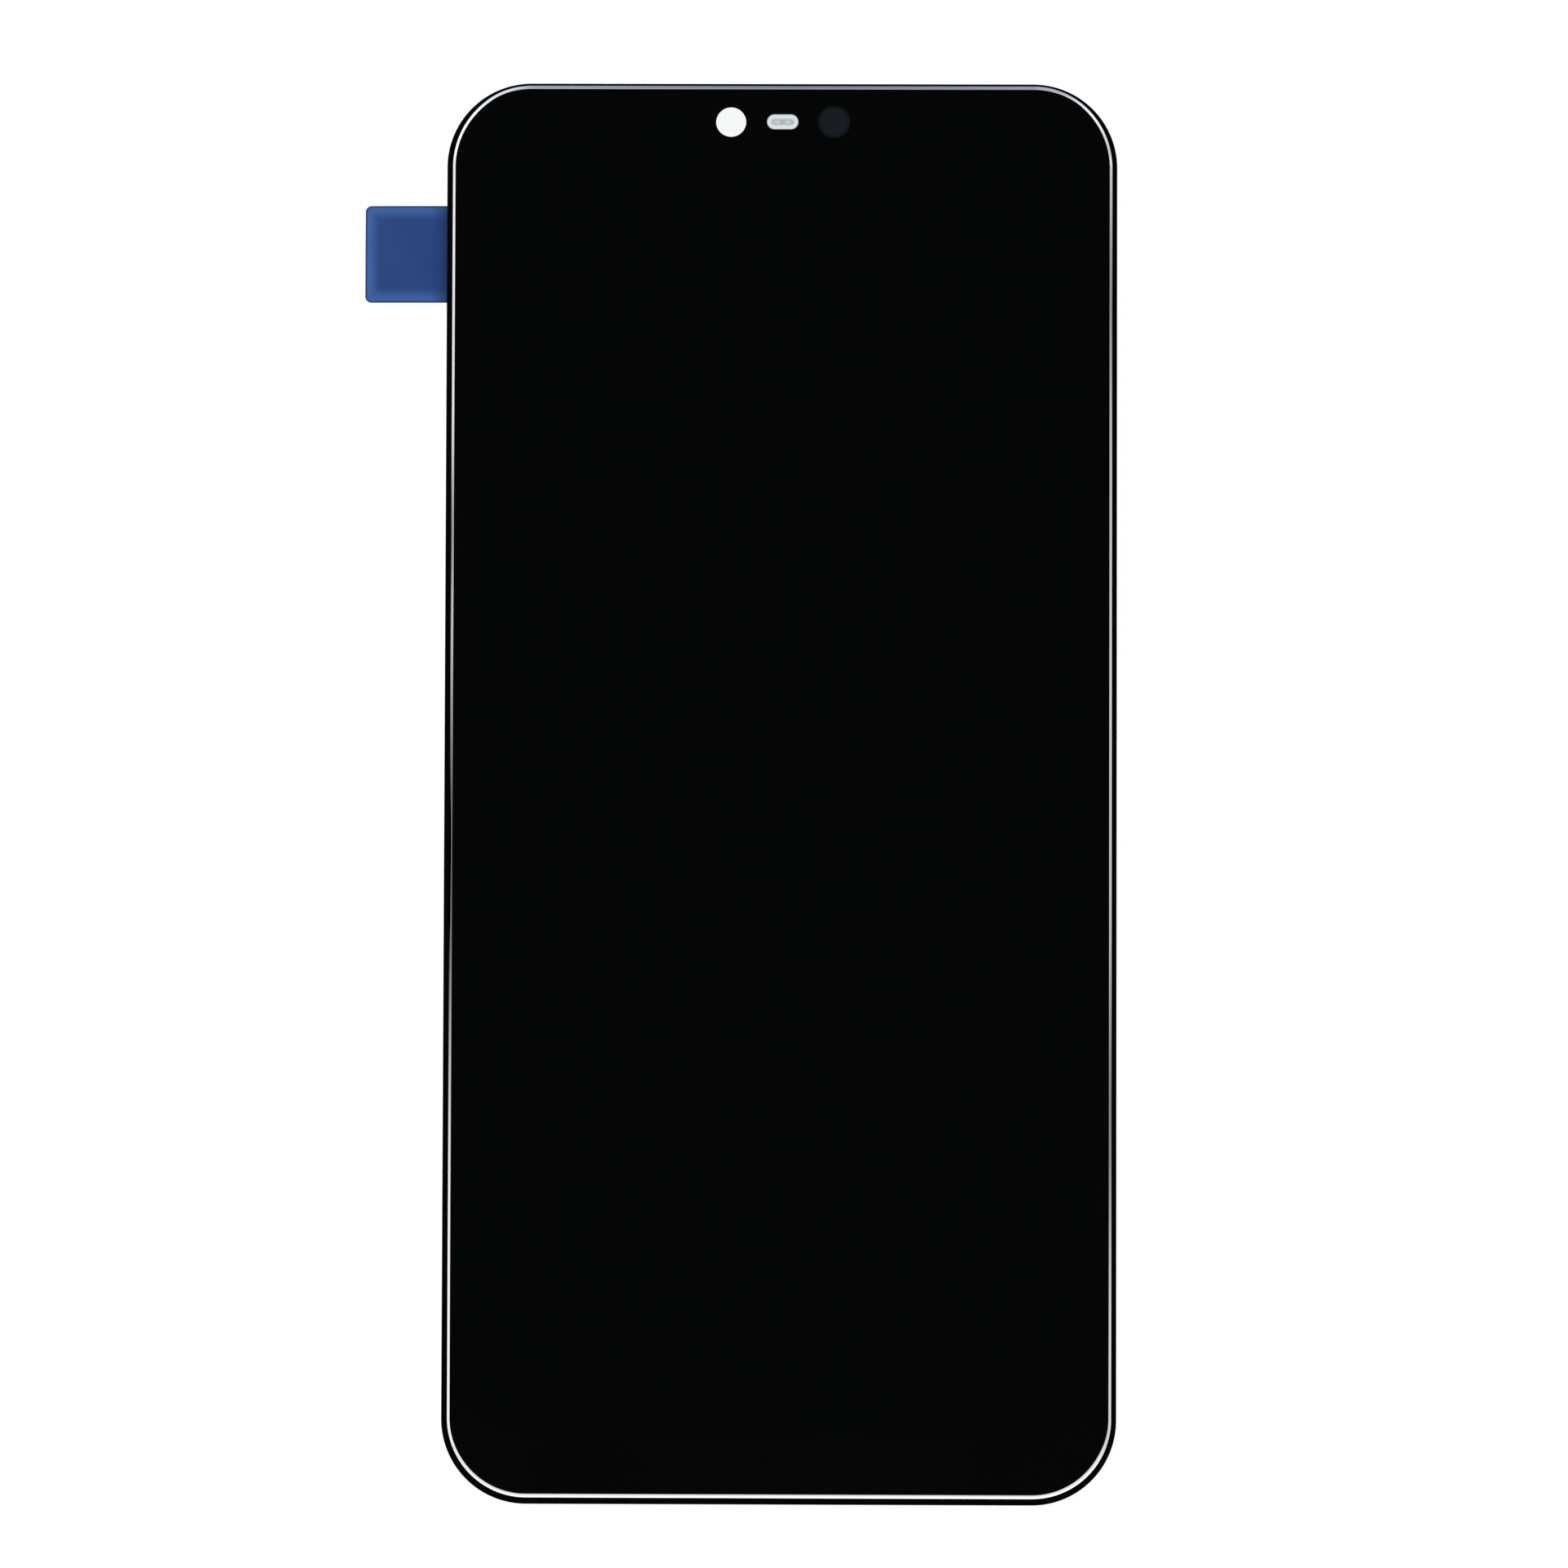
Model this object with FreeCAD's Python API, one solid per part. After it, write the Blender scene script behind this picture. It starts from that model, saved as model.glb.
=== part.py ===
import FreeCAD, Part
import math
import os

os.makedirs("parts", exist_ok=True)
V = FreeCAD.Vector

# Everything is in millimetres. The screen faces +z, its top end faces +y, and z = 0 is the outer
# face of the release liner, the plane on which the border of the glass lands in the phone's frame.

# Cover glass
GLASS_WIDTH = 71.2
GLASS_HEIGHT = 150.5
GLASS_THICKNESS = 0.70
GLASS_CORNER = 8.94
EDGE_REACH = 1.15
EDGE_DROP = 0.35

# Active area of the display inside the glass
SIDE_BEZEL = 2.2
TOP_BEZEL = 2.2
CHIN = 7.3
NOTCH_HALF = 9.65
NOTCH_DEPTH = 4.65
NOTCH_CORNER = 3.2
NOTCH_SHOULDER = 1.4

# Windows in the border print, measured from the top edge of the glass
WINDOW_DROP = 4.10
CAMERA_X = -5.44
CAMERA_DIAMETER = 3.20
SLOT_X = 0.04
SLOT_LENGTH = 3.35
SLOT_WIDTH = 1.62
SLOT_END_FLAT = 0.002
SENSOR_X = 5.5
SENSOR_DIAMETER = 3.55
PRINT_INSET = 0.20
DIFFUSER_LIP = 0.45
DIFFUSER_SHEET = 0.05

# Border adhesive and its release liner
LINER = 0.10
ADHESIVE = 0.18
RING_INSET = 0.35
RING_WIDTH = 0.85
RING_CHIN_WIDTH = 1.75
RING_CHIN_CORNER = 6.54
TAB_REACH = 8.72
TAB_HEIGHT = 10.33
TAB_DROP = 18.19
TAB_CORNER = 0.65

# Thickness of each layer, from the glass backwards
PRINT = 0.02
OPTICAL_ADHESIVE = 0.15
POLARIZER = 0.12
CELL_GLASS = 0.20
CELL_SPACE = 0.02
RIM_TAPE = 0.05
PRISM_FILM = 0.06
DIFFUSER_FILM = 0.05
LIGHT_GUIDE = 0.40
REFLECTOR = 0.08
TRAY_SHEET = 0.12
FLEX_TAPE = 0.15
FLEX = 0.12
LED_FLEX = 0.12

# How far each layer reaches past the active area
POLARIZER_MARGIN = 0.50
CELL_MARGIN = 0.75
TRAY_MARGIN = 0.85
FILM_MARGIN = 0.35
SEAL_MARGIN = 0.30
RIM_TAPE_OVERLAP = 0.15
FILTER_REACH = 1.0
GUIDE_REACH = 0.65
LEDGE = 3.0

# How far the lower ends of the layers stay back, and the radii of the corners there
POLARIZER_SETBACK = 0.30
REAR_POLARIZER_SETBACK = 0.65
RIM_TAPE_SETBACK = 0.40
FILM_SETBACK = 0.90
CELL_CORNER = 5.24
GUIDE_CORNER = 3.03
FILM_CORNER = 2.0
LAYER_STEP = 0.05

# Backlight details
LED_COUNT = 12
LED_PITCH = 5.0
LED_WIDTH = 3.0
LED_DEPTH = 0.9
LED_HEIGHT = 0.45
LED_STRIP_END = 0.5
LED_STRIP_DEPTH = 1.55
LED_POCKET_PLAY = 0.10
TAIL_PLAY = 0.20
LATCH_COUNT = 6
LATCH_WIDTH = 4.0
LATCH_HEIGHT = 0.25
LATCH_PLAY = 0.20
LATCH_RISE_PLAY = 0.03
LATCH_ROOT = 0.10
LATCH_SINK = 0.02
TRAY_HOLE = 1.5
TRAY_HOLE_INSET = 12.0
TRAY_HOLE_SHARE = 0.9

# Parts on the ledge of the TFT glass
CHIP_LENGTH = 29.0
CHIP_DEPTH = 0.9
CHIP_HEIGHT = 0.20
CHIP_SHARE = 0.32
SEALANT_LENGTH = 52.0
SEALANT_HEIGHT = 0.10
SEALANT_CORNER = 0.30

# Display flex, its parts and the plug for the main board
LAP_HALF = 19.0
FLEX_LAP = 1.0
BEND_CLEARANCE = 0.10
COMPONENT_FIELD = 12.5
TAIL_HALF = 5.5
TAIL_X = -6.0
TAIL_END = 36.0
HEAD_HALF = 7.5
HEAD_LENGTH = 6.5
FIELD_CORNER = 1.5
TAIL_ROOT = 1.0
HEAD_CORNER = 0.8
LED_TAIL_X = 25.5
LED_TAIL_HALF = 2.5
LED_TAIL_RUN = 9.0
LED_TAIL_WIDTH = 4.5
LED_TAIL_OVERLAP = 4.0
LED_TAIL_ROOT = 0.8
LED_TAIL_CORNER = 1.0
LED_TAIL_TIP = 0.5
TAPE_SETBACK = 0.5
TAPE_SIDE = 0.6
TAPE_FOLD_GAP = 0.9
TAPE_TAIL_OVERLAP = 1.5
STIFFENER_SETBACK = 0.20
STIFFENER_CORNER = 0.60
JOINT_COUNT = 4
JOINT_TIP_GAP = 0.5
JOINT_ROOT_GAP = 1.0
JOINT_SHARE = 0.6
CONTACT_COUNT = 20
CONTACT_PITCH = 0.40
CONTACT_WIDTH = 0.16
CONTACT_SHEET = 0.05
CONTACT_DEPTH = 0.42
CONTACT_FOOT = 0.40
PLUG_WIDTH = 2.6
PLUG_HEIGHT = 0.70
PLUG_END = 1.0
PLUG_CORNER = 0.15
PLUG_WALL = 0.70
PLUG_END_WALL = 0.50
GROOVE_DEPTH = 0.45
GROOVE_CORNER = 0.10
CLIP_REACH = 0.25
CLIP_SEAT = 0.35
CLIP_HALF = 0.80
CLIP_DROP = 0.15
CLIP_CORNER = 0.10

# Tape and cushions on the tray's back
GROUND_TAPE_GAP = 2.5
GROUND_TAPE_WIDTH = 8.9
GROUND_TAPE_LENGTH = 22.0
GROUND_TAPE_SHEET = 0.06
PAD_LENGTH = 12.0
PAD_WIDTH = 7.0
PAD_INSET = 16.0
PAD_SIDE_SHARE = 0.62
PAD_CORNER = 1.0
TAPE_CORNER = 0.8

# Chip capacitors and resistors: body, end caps and height above the flex
PASSIVE_LENGTH = 0.6
PASSIVE_WIDTH = 0.5
CAP_LENGTH = 0.2
CAP_LIP = 0.02
CAPACITOR_HEIGHT = 0.50
RESISTOR_HEIGHT = 0.32

# The other parts on the flex
POWER_CHIP_SIDE = 2.6
LED_CHIP_SIDE = 2.0
PACKAGE_HEIGHT = 0.50
INDUCTOR_LENGTH = 2.5
INDUCTOR_WIDTH = 2.0
INDUCTOR_HEIGHT = 0.60
TEST_PAD_DIAMETER = 1.1
TEST_PAD_HEIGHT = 0.03

# Where each part stands, as shares of the flex's half width and of its depth from the fold
POWER_CHIP_SHARES = (-0.63, 0.42)
LED_CHIP_SHARES = (0.20, 0.52)
INDUCTOR_SHARES = (-0.39, 0.42)
CAPACITOR_SHARES = [(-0.82, 0.29), (-0.82, 0.51), (-0.63, 0.70), (-0.42, 0.68), (-0.16, 0.32),
                    (-0.16, 0.48), (-0.16, 0.64), (0.02, 0.70), (0.37, 0.40), (0.37, 0.61)]
RESISTOR_SHARES = [(-0.82, 0.72), (-0.53, 0.19), (0.01, 0.27), (0.19, 0.26), (0.51, 0.32), (0.51, 0.51)]
TEST_PAD_SHARES = [(0.63, 0.26), (0.63, 0.43), (0.63, 0.61), (0.63, 0.78),
                   (0.81, 0.26), (0.81, 0.43), (0.81, 0.61), (0.81, 0.78)]


def outline(points, radii, z):
    """Closed wire through the corner points, each rounded to its own radius."""
    edges = []
    arcs = []
    corners = [V(x, y, z) for x, y in points]
    for i, corner in enumerate(corners):
        before = (corners[i - 1] - corner).normalize()
        after = (corners[(i + 1) % len(corners)] - corner).normalize()
        half = before.getAngle(after) / 2
        reach = radii[i] / math.tan(half)
        centre = corner
        if radii[i] > 0:
            centre = corner + (before + after).normalize() * (radii[i] / math.sin(half))
        middle = centre
        if radii[i] > 0:
            middle = centre + (corner - centre).normalize() * radii[i]
        arcs.append((corner + before * reach, middle, corner + after * reach))
    for i, (start, middle, stop) in enumerate(arcs):
        if radii[i] > 0:
            edges.append(Part.Arc(start, middle, stop).toShape())
        onward = arcs[(i + 1) % len(arcs)][0]
        if stop.distanceToPoint(onward) > 1e-6:
            edges.append(Part.makeLine(stop, onward))
    return Part.Wire(edges)


def prism(points, radii, low, high):
    """Solid between two heights with a rounded polygon as its plan."""
    face = Part.Face(outline(points, radii, low))
    return face.extrude(V(0, 0, high - low))


def box_points(x0, y0, x1, y1):
    return [(x0, y0), (x1, y0), (x1, y1), (x0, y1)]


def plate(x0, y0, x1, y1, low, high, radius=0):
    return prism(box_points(x0, y0, x1, y1), [radius] * 4, low, high)


def disc(x, y, diameter, low, high):
    return Part.makeCylinder(diameter / 2, high - low, V(x, y, low))


def export(name, shape):
    shape.exportStep("parts/" + name + ".step")


# Heights of the faces, from the liner up to the screen and from the glass back down to the tray
ADHESIVE_BACK = LINER
PRINT_BACK = ADHESIVE_BACK + ADHESIVE
GLASS_BACK = PRINT_BACK + PRINT
GLASS_FRONT = GLASS_BACK + GLASS_THICKNESS
FRONT_POLARIZER_TOP = PRINT_BACK - OPTICAL_ADHESIVE
FILTER_TOP = FRONT_POLARIZER_TOP - POLARIZER
CELL_TOP = FILTER_TOP - CELL_GLASS
TFT_TOP = CELL_TOP - CELL_SPACE
REAR_POLARIZER_TOP = TFT_TOP - CELL_GLASS
RIM_TAPE_TOP = REAR_POLARIZER_TOP - POLARIZER
UPPER_PRISM_TOP = RIM_TAPE_TOP - RIM_TAPE
LOWER_PRISM_TOP = UPPER_PRISM_TOP - PRISM_FILM
DIFFUSER_TOP = LOWER_PRISM_TOP - PRISM_FILM
GUIDE_TOP = DIFFUSER_TOP - DIFFUSER_FILM
REFLECTOR_TOP = GUIDE_TOP - LIGHT_GUIDE
TRAY_FLOOR = REFLECTOR_TOP - REFLECTOR
TRAY_BACK = TRAY_FLOOR - TRAY_SHEET
FLEX_TOP = TRAY_BACK - FLEX_TAPE
FLEX_BACK = FLEX_TOP - FLEX
PLUG_BACK = FLEX_BACK - PLUG_HEIGHT
PLUG_CREST = PLUG_BACK + CONTACT_SHEET

# Edges of the glass and of the active area, seen from the front
HALF_WIDTH = GLASS_WIDTH / 2
HALF_HEIGHT = GLASS_HEIGHT / 2
AREA_HALF = HALF_WIDTH - SIDE_BEZEL
AREA_TOP = HALF_HEIGHT - TOP_BEZEL
AREA_BOTTOM = CHIN - HALF_HEIGHT
AREA_CORNER = GLASS_CORNER - SIDE_BEZEL
WINDOW_Y = HALF_HEIGHT - WINDOW_DROP
FILTER_BOTTOM = AREA_BOTTOM - FILTER_REACH
TFT_BOTTOM = FILTER_BOTTOM - LEDGE
GUIDE_BOTTOM = FILTER_BOTTOM - GUIDE_REACH
TRAY_INNER_CORNER = CELL_CORNER - TRAY_SHEET
LED_ROW_HALF = (LED_PITCH * (LED_COUNT - 1) + LED_WIDTH) / 2
BEND_Y = TFT_BOTTOM - BEND_CLEARANCE


def display_plan(margin, bottom, bottom_corner):
    """Corner points and radii of a display layer that reaches a margin past the active area."""
    half = AREA_HALF + margin
    top = AREA_TOP + margin
    notch = NOTCH_HALF - margin
    floor = AREA_TOP - NOTCH_DEPTH + margin
    corner = AREA_CORNER + margin
    shoulder = NOTCH_SHOULDER + margin
    inner = NOTCH_CORNER - margin
    points = [(-half, bottom), (half, bottom), (half, top), (notch, top),
              (notch, floor), (-notch, floor), (-notch, top), (-half, top)]
    radii = [bottom_corner, bottom_corner, corner, shoulder, inner, inner, shoulder, corner]
    return points, radii


def layer(margin, bottom, low, high, bottom_corner=None):
    if bottom_corner is None:
        bottom_corner = AREA_CORNER + margin
    points, radii = display_plan(margin, bottom, bottom_corner)
    return prism(points, radii, low, high)


def glass_plan(inset):
    half = HALF_WIDTH - inset
    tall = HALF_HEIGHT - inset
    points = [(half, 0), (half, tall), (-half, tall), (-half, -tall), (half, -tall)]
    corner = GLASS_CORNER - inset
    return points, [0, corner, corner, corner, corner]


# Cover glass: a flat plate whose front edge is ground to a shallow arc all the way round.
def cover_glass():
    points, radii = glass_plan(0)
    body = prism(points, radii, GLASS_BACK, GLASS_FRONT)
    arc_radius = (EDGE_REACH ** 2 + EDGE_DROP ** 2) / (2 * EDGE_DROP)
    turn = math.asin(EDGE_REACH / arc_radius) / 2
    start = V(HALF_WIDTH - EDGE_REACH, 0, GLASS_FRONT)
    middle = start + V(arc_radius * math.sin(turn), 0, arc_radius * (math.cos(turn) - 1))
    stop = V(HALF_WIDTH, 0, GLASS_FRONT - EDGE_DROP)
    low_corner = stop + V(EDGE_DROP, 0, 0)
    high_corner = V(low_corner.x, 0, GLASS_FRONT + EDGE_DROP)
    inner_corner = V(start.x, 0, high_corner.z)
    profile = Part.Wire([
        Part.Arc(start, middle, stop).toShape(),
        Part.makeLine(stop, low_corner),
        Part.makeLine(low_corner, high_corner),
        Part.makeLine(high_corner, inner_corner),
        Part.makeLine(inner_corner, start),
    ])
    path = outline(points, radii, GLASS_FRONT)
    cutter = path.makePipeShell([profile], True, True)
    return body.cut(cutter)


def slot_cut(length, width, low, high):
    """A bar whose round ends keep a very short flat."""
    radius = (width - SLOT_END_FLAT) / 2
    left = SLOT_X - length / 2
    right = SLOT_X + length / 2
    return plate(left, WINDOW_Y - width / 2, right, WINDOW_Y + width / 2, low, high, radius)


# Border print: a black frame on the back of the glass, with the three windows left clear.
def border_print():
    points, radii = glass_plan(PRINT_INSET)
    ink = prism(points, radii, PRINT_BACK, GLASS_BACK)
    ink = ink.cut(layer(0, AREA_BOTTOM, PRINT_BACK, GLASS_BACK))
    ink = ink.cut(disc(CAMERA_X, WINDOW_Y, CAMERA_DIAMETER, PRINT_BACK, GLASS_BACK))
    ink = ink.cut(disc(SENSOR_X, WINDOW_Y, SENSOR_DIAMETER, PRINT_BACK, GLASS_BACK))
    return ink.cut(slot_cut(SLOT_LENGTH, SLOT_WIDTH, PRINT_BACK, GLASS_BACK))


# Infrared print: a dark disc that fills the right-hand window.
def ir_window_print():
    return disc(SENSOR_X, WINDOW_Y, SENSOR_DIAMETER, PRINT_BACK, GLASS_BACK)


# Sensor diffuser: a frosted film stuck behind the slot window.
def sensor_diffuser():
    length = SLOT_LENGTH + 2 * DIFFUSER_LIP
    width = SLOT_WIDTH + 2 * DIFFUSER_LIP
    return slot_cut(length, width, PRINT_BACK - DIFFUSER_SHEET, PRINT_BACK)


# Border adhesive: a foam tape ring that is wider along the chin.
def ring(low, high):
    points, radii = glass_plan(RING_INSET)
    outer = prism(points, radii, low, high)
    inset = RING_INSET + RING_WIDTH
    half = HALF_WIDTH - inset
    chin = RING_INSET + RING_CHIN_WIDTH - HALF_HEIGHT
    corner = GLASS_CORNER - inset
    hole_points = box_points(-half, chin, half, HALF_HEIGHT - inset)
    hole_radii = [RING_CHIN_CORNER, RING_CHIN_CORNER, corner, corner]
    return outer.cut(prism(hole_points, hole_radii, low, high))


# Release liner: the same ring in blue film, in one piece with a pull tab past the left edge.
def adhesive_liner():
    body = ring(0, LINER)
    tab_right = RING_INSET + RING_WIDTH / 2 - HALF_WIDTH
    tab_left = -HALF_WIDTH - TAB_REACH
    tab_middle = HALF_HEIGHT - TAB_DROP
    points = box_points(tab_left, tab_middle - TAB_HEIGHT / 2, tab_right, tab_middle + TAB_HEIGHT / 2)
    tab = prism(points, [TAB_CORNER, 0, 0, TAB_CORNER], 0, LINER)
    return body.fuse(tab).removeSplitter()


# Optical adhesive: fills the display up to the print, with a step up into the clear area.
def optical_adhesive():
    body = layer(POLARIZER_MARGIN, FILTER_BOTTOM + POLARIZER_SETBACK, FRONT_POLARIZER_TOP, PRINT_BACK)
    step = layer(0, AREA_BOTTOM, PRINT_BACK, GLASS_BACK)
    return body.fuse(step).removeSplitter()


def front_polarizer():
    return layer(POLARIZER_MARGIN, FILTER_BOTTOM + POLARIZER_SETBACK, FILTER_TOP, FRONT_POLARIZER_TOP)


def color_filter_glass():
    return layer(CELL_MARGIN, FILTER_BOTTOM, CELL_TOP, FILTER_TOP, CELL_CORNER)


def liquid_crystal():
    return layer(SEAL_MARGIN, AREA_BOTTOM - SEAL_MARGIN, TFT_TOP, CELL_TOP)


# Cell seal: the line of cured resin that closes the liquid crystal in.
def cell_seal():
    body = layer(CELL_MARGIN - LAYER_STEP, FILTER_BOTTOM + LAYER_STEP, TFT_TOP, CELL_TOP, CELL_CORNER)
    return body.cut(liquid_crystal())


# TFT glass: longer than the colour filter at the bottom, where the ledge carries chip and flex.
def tft_glass():
    return layer(CELL_MARGIN, TFT_BOTTOM, REAR_POLARIZER_TOP, TFT_TOP, CELL_CORNER)


def driver_chip():
    middle = FILTER_BOTTOM - LEDGE * CHIP_SHARE
    half = CHIP_LENGTH / 2
    low = middle - CHIP_DEPTH / 2
    return plate(-half, low, half, low + CHIP_DEPTH, TFT_TOP, TFT_TOP + CHIP_HEIGHT)


# Ledge sealant: a thin coat over the conductors between the cell and the flex.
def ledge_sealant():
    half = SEALANT_LENGTH / 2
    near = TFT_BOTTOM + FLEX_LAP
    coat = plate(-half, near, half, FILTER_BOTTOM, TFT_TOP, TFT_TOP + SEALANT_HEIGHT, SEALANT_CORNER)
    return coat.cut(driver_chip())


def rear_polarizer():
    near = TFT_BOTTOM + REAR_POLARIZER_SETBACK
    return layer(POLARIZER_MARGIN, near, RIM_TAPE_TOP, REAR_POLARIZER_TOP, CELL_CORNER)


# Rim tape: a black double-sided ring between the cell and the backlight.
def rim_tape():
    near = TFT_BOTTOM + RIM_TAPE_SETBACK
    body = layer(TRAY_MARGIN - LAYER_STEP, near, UPPER_PRISM_TOP, RIM_TAPE_TOP, CELL_CORNER)
    return body.cut(layer(RIM_TAPE_OVERLAP, AREA_BOTTOM - RIM_TAPE_OVERLAP, UPPER_PRISM_TOP, RIM_TAPE_TOP))


def film(low, high):
    return layer(FILM_MARGIN - LAYER_STEP, GUIDE_BOTTOM + FILM_SETBACK, low, high, FILM_CORNER)


def light_guide_plate():
    return layer(FILM_MARGIN, GUIDE_BOTTOM, REFLECTOR_TOP, GUIDE_TOP, GUIDE_CORNER)


def reflector_film():
    return layer(FILM_MARGIN, GUIDE_BOTTOM, TRAY_FLOOR, REFLECTOR_TOP, GUIDE_CORNER)


def led_centres():
    return [(i - (LED_COUNT - 1) / 2) * LED_PITCH for i in range(LED_COUNT)]


# LEDs: a row of side-emitting packages along the bottom edge of the light guide.
def leds():
    low = REFLECTOR_TOP
    high = REFLECTOR_TOP + LED_HEIGHT
    near = GUIDE_BOTTOM - LED_DEPTH
    half = LED_WIDTH / 2
    return [plate(x - half, near, x + half, GUIDE_BOTTOM, low, high) for x in led_centres()]


# LED flex: a strip over the LEDs with a tail that folds round the edge onto the tray's back.
def led_flex():
    top = REFLECTOR_TOP + LED_HEIGHT + LED_FLEX
    under = top - LED_FLEX
    reach = LED_ROW_HALF + LED_STRIP_END
    strip = plate(-reach, GUIDE_BOTTOM - LED_STRIP_DEPTH, reach, GUIDE_BOTTOM, under, top, SEALANT_CORNER)
    x0 = LED_TAIL_X - LED_TAIL_HALF
    x1 = LED_TAIL_X + LED_TAIL_HALF
    run = plate(x0, BEND_Y, x1, GUIDE_BOTTOM - LED_DEPTH, under, top)
    bend = half_tube(x0, x1, BEND_Y, TRAY_BACK, under, LED_FLEX)
    inner = LAP_HALF - LED_TAIL_OVERLAP
    far = BEND_Y + LED_TAIL_RUN
    near = far - LED_TAIL_WIDTH
    fold_points = [(x0, BEND_Y), (x1, BEND_Y), (x1, far), (inner, far), (inner, near), (x0, near)]
    fold_radii = [0, 0, LED_TAIL_CORNER, LED_TAIL_TIP, LED_TAIL_TIP, LED_TAIL_ROOT]
    fold = prism(fold_points, fold_radii, TRAY_BACK - LED_FLEX, TRAY_BACK)
    return strip.multiFuse([run, bend, fold]).removeSplitter()


def half_tube(x0, x1, y, low, high, thickness):
    """Half of a thin tube along x that joins a strip at the height high to one at the height low."""
    inner = (high - low) / 2
    outer = inner + thickness
    axis = V(x0, y, (high + low) / 2)
    tube = Part.makeCylinder(outer, x1 - x0, axis, V(1, 0, 0))
    tube = tube.cut(Part.makeCylinder(inner, x1 - x0, axis, V(1, 0, 0)))
    return tube.common(plate(x0, y - 2 * outer, x1, y, axis.z - 2 * outer, axis.z + 2 * outer))


def latch_rows():
    span = AREA_TOP - AREA_CORNER - (TFT_BOTTOM + AREA_CORNER)
    middle = (AREA_TOP + TFT_BOTTOM) / 2
    return [middle + span * ((i + 0.5) / LATCH_COUNT - 0.5) for i in range(LATCH_COUNT)]


def latch_boxes(width, height, inner, outer):
    """Small blocks along both side walls, between two distances from the centre line."""
    middle = (GUIDE_TOP + REFLECTOR_TOP) / 2
    blocks = []
    low = middle - height / 2
    for y in latch_rows():
        for x0, x1 in ((inner, outer), (-outer, -inner)):
            blocks.append(plate(x0, y - width / 2, x1, y + width / 2, low, low + height))
    return blocks


def tail_cut(play, near, far):
    """Room for the LED tail on its way out over the bottom edge."""
    half = LED_TAIL_HALF + play
    under = REFLECTOR_TOP + LED_HEIGHT
    return plate(LED_TAIL_X - half, near, LED_TAIL_X + half, far, under, UPPER_PRISM_TOP)


# Mould frame: the white ring that holds guide and films, with LED pockets and side latches.
def mould_frame():
    wall_inside = TRAY_MARGIN - TRAY_SHEET
    body = layer(wall_inside, TFT_BOTTOM + TRAY_SHEET, TRAY_FLOOR, UPPER_PRISM_TOP, TRAY_INNER_CORNER)
    body = body.cut(layer(FILM_MARGIN, GUIDE_BOTTOM, TRAY_FLOOR, UPPER_PRISM_TOP, GUIDE_CORNER))
    body = body.cut(Part.makeCompound(leds()))
    under = REFLECTOR_TOP + LED_HEIGHT
    reach = LED_ROW_HALF + LED_STRIP_END + LED_POCKET_PLAY
    near = GUIDE_BOTTOM - LED_STRIP_DEPTH - LED_POCKET_PLAY
    body = body.cut(plate(-reach, near, reach, GUIDE_BOTTOM + LEDGE, under, UPPER_PRISM_TOP))
    body = body.cut(tail_cut(TAIL_PLAY, TFT_BOTTOM - LEDGE, GUIDE_BOTTOM))
    wall = AREA_HALF + wall_inside
    bump_width = LATCH_WIDTH - 2 * LATCH_PLAY
    bump_height = LATCH_HEIGHT - 2 * LATCH_RISE_PLAY
    bumps = latch_boxes(bump_width, bump_height, wall - LATCH_ROOT, wall + TRAY_SHEET - LATCH_SINK)
    return body.multiFuse(bumps).removeSplitter()


# Tray: a stamped steel pan behind the backlight, walled all round, with latch windows.
def backlight_tray():
    body = layer(TRAY_MARGIN, TFT_BOTTOM, TRAY_BACK, UPPER_PRISM_TOP, CELL_CORNER)
    near = TFT_BOTTOM + TRAY_SHEET
    room = layer(TRAY_MARGIN - TRAY_SHEET, near, TRAY_FLOOR, UPPER_PRISM_TOP, TRAY_INNER_CORNER)
    body = body.cut(room)
    outer = AREA_HALF + TRAY_MARGIN
    windows = latch_boxes(LATCH_WIDTH, LATCH_HEIGHT, outer - 2 * TRAY_SHEET, outer + TRAY_SHEET)
    body = body.cut(Part.makeCompound(windows))
    body = body.cut(tail_cut(TAIL_PLAY + LED_POCKET_PLAY, TFT_BOTTOM - TRAY_SHEET, near))
    holes = []
    for x in (-AREA_HALF * TRAY_HOLE_SHARE, AREA_HALF * TRAY_HOLE_SHARE):
        for y in (AREA_TOP - TRAY_HOLE_INSET, AREA_BOTTOM + 2 * TRAY_HOLE_INSET):
            holes.append(disc(x, y, TRAY_HOLE, TRAY_BACK, TRAY_FLOOR))
    return body.cut(Part.makeCompound(holes))


def tail_plan():
    """Plan of the flex on the tray's back: a wide component field, a tail and a head for the plug."""
    field_top = BEND_Y + COMPONENT_FIELD
    tail_top = BEND_Y + TAIL_END - HEAD_LENGTH
    head_top = BEND_Y + TAIL_END
    left = TAIL_X - TAIL_HALF
    right = TAIL_X + TAIL_HALF
    head_left = TAIL_X - HEAD_HALF
    head_right = TAIL_X + HEAD_HALF
    points = [(-LAP_HALF, BEND_Y), (LAP_HALF, BEND_Y), (LAP_HALF, field_top), (right, field_top),
              (right, tail_top), (head_right, tail_top), (head_right, head_top), (head_left, head_top),
              (head_left, tail_top), (left, tail_top), (left, field_top), (-LAP_HALF, field_top)]
    right_radii = [0, FIELD_CORNER, TAIL_ROOT, HEAD_CORNER, HEAD_CORNER, HEAD_CORNER]
    return points, [0] + right_radii + right_radii[:0:-1]


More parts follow.
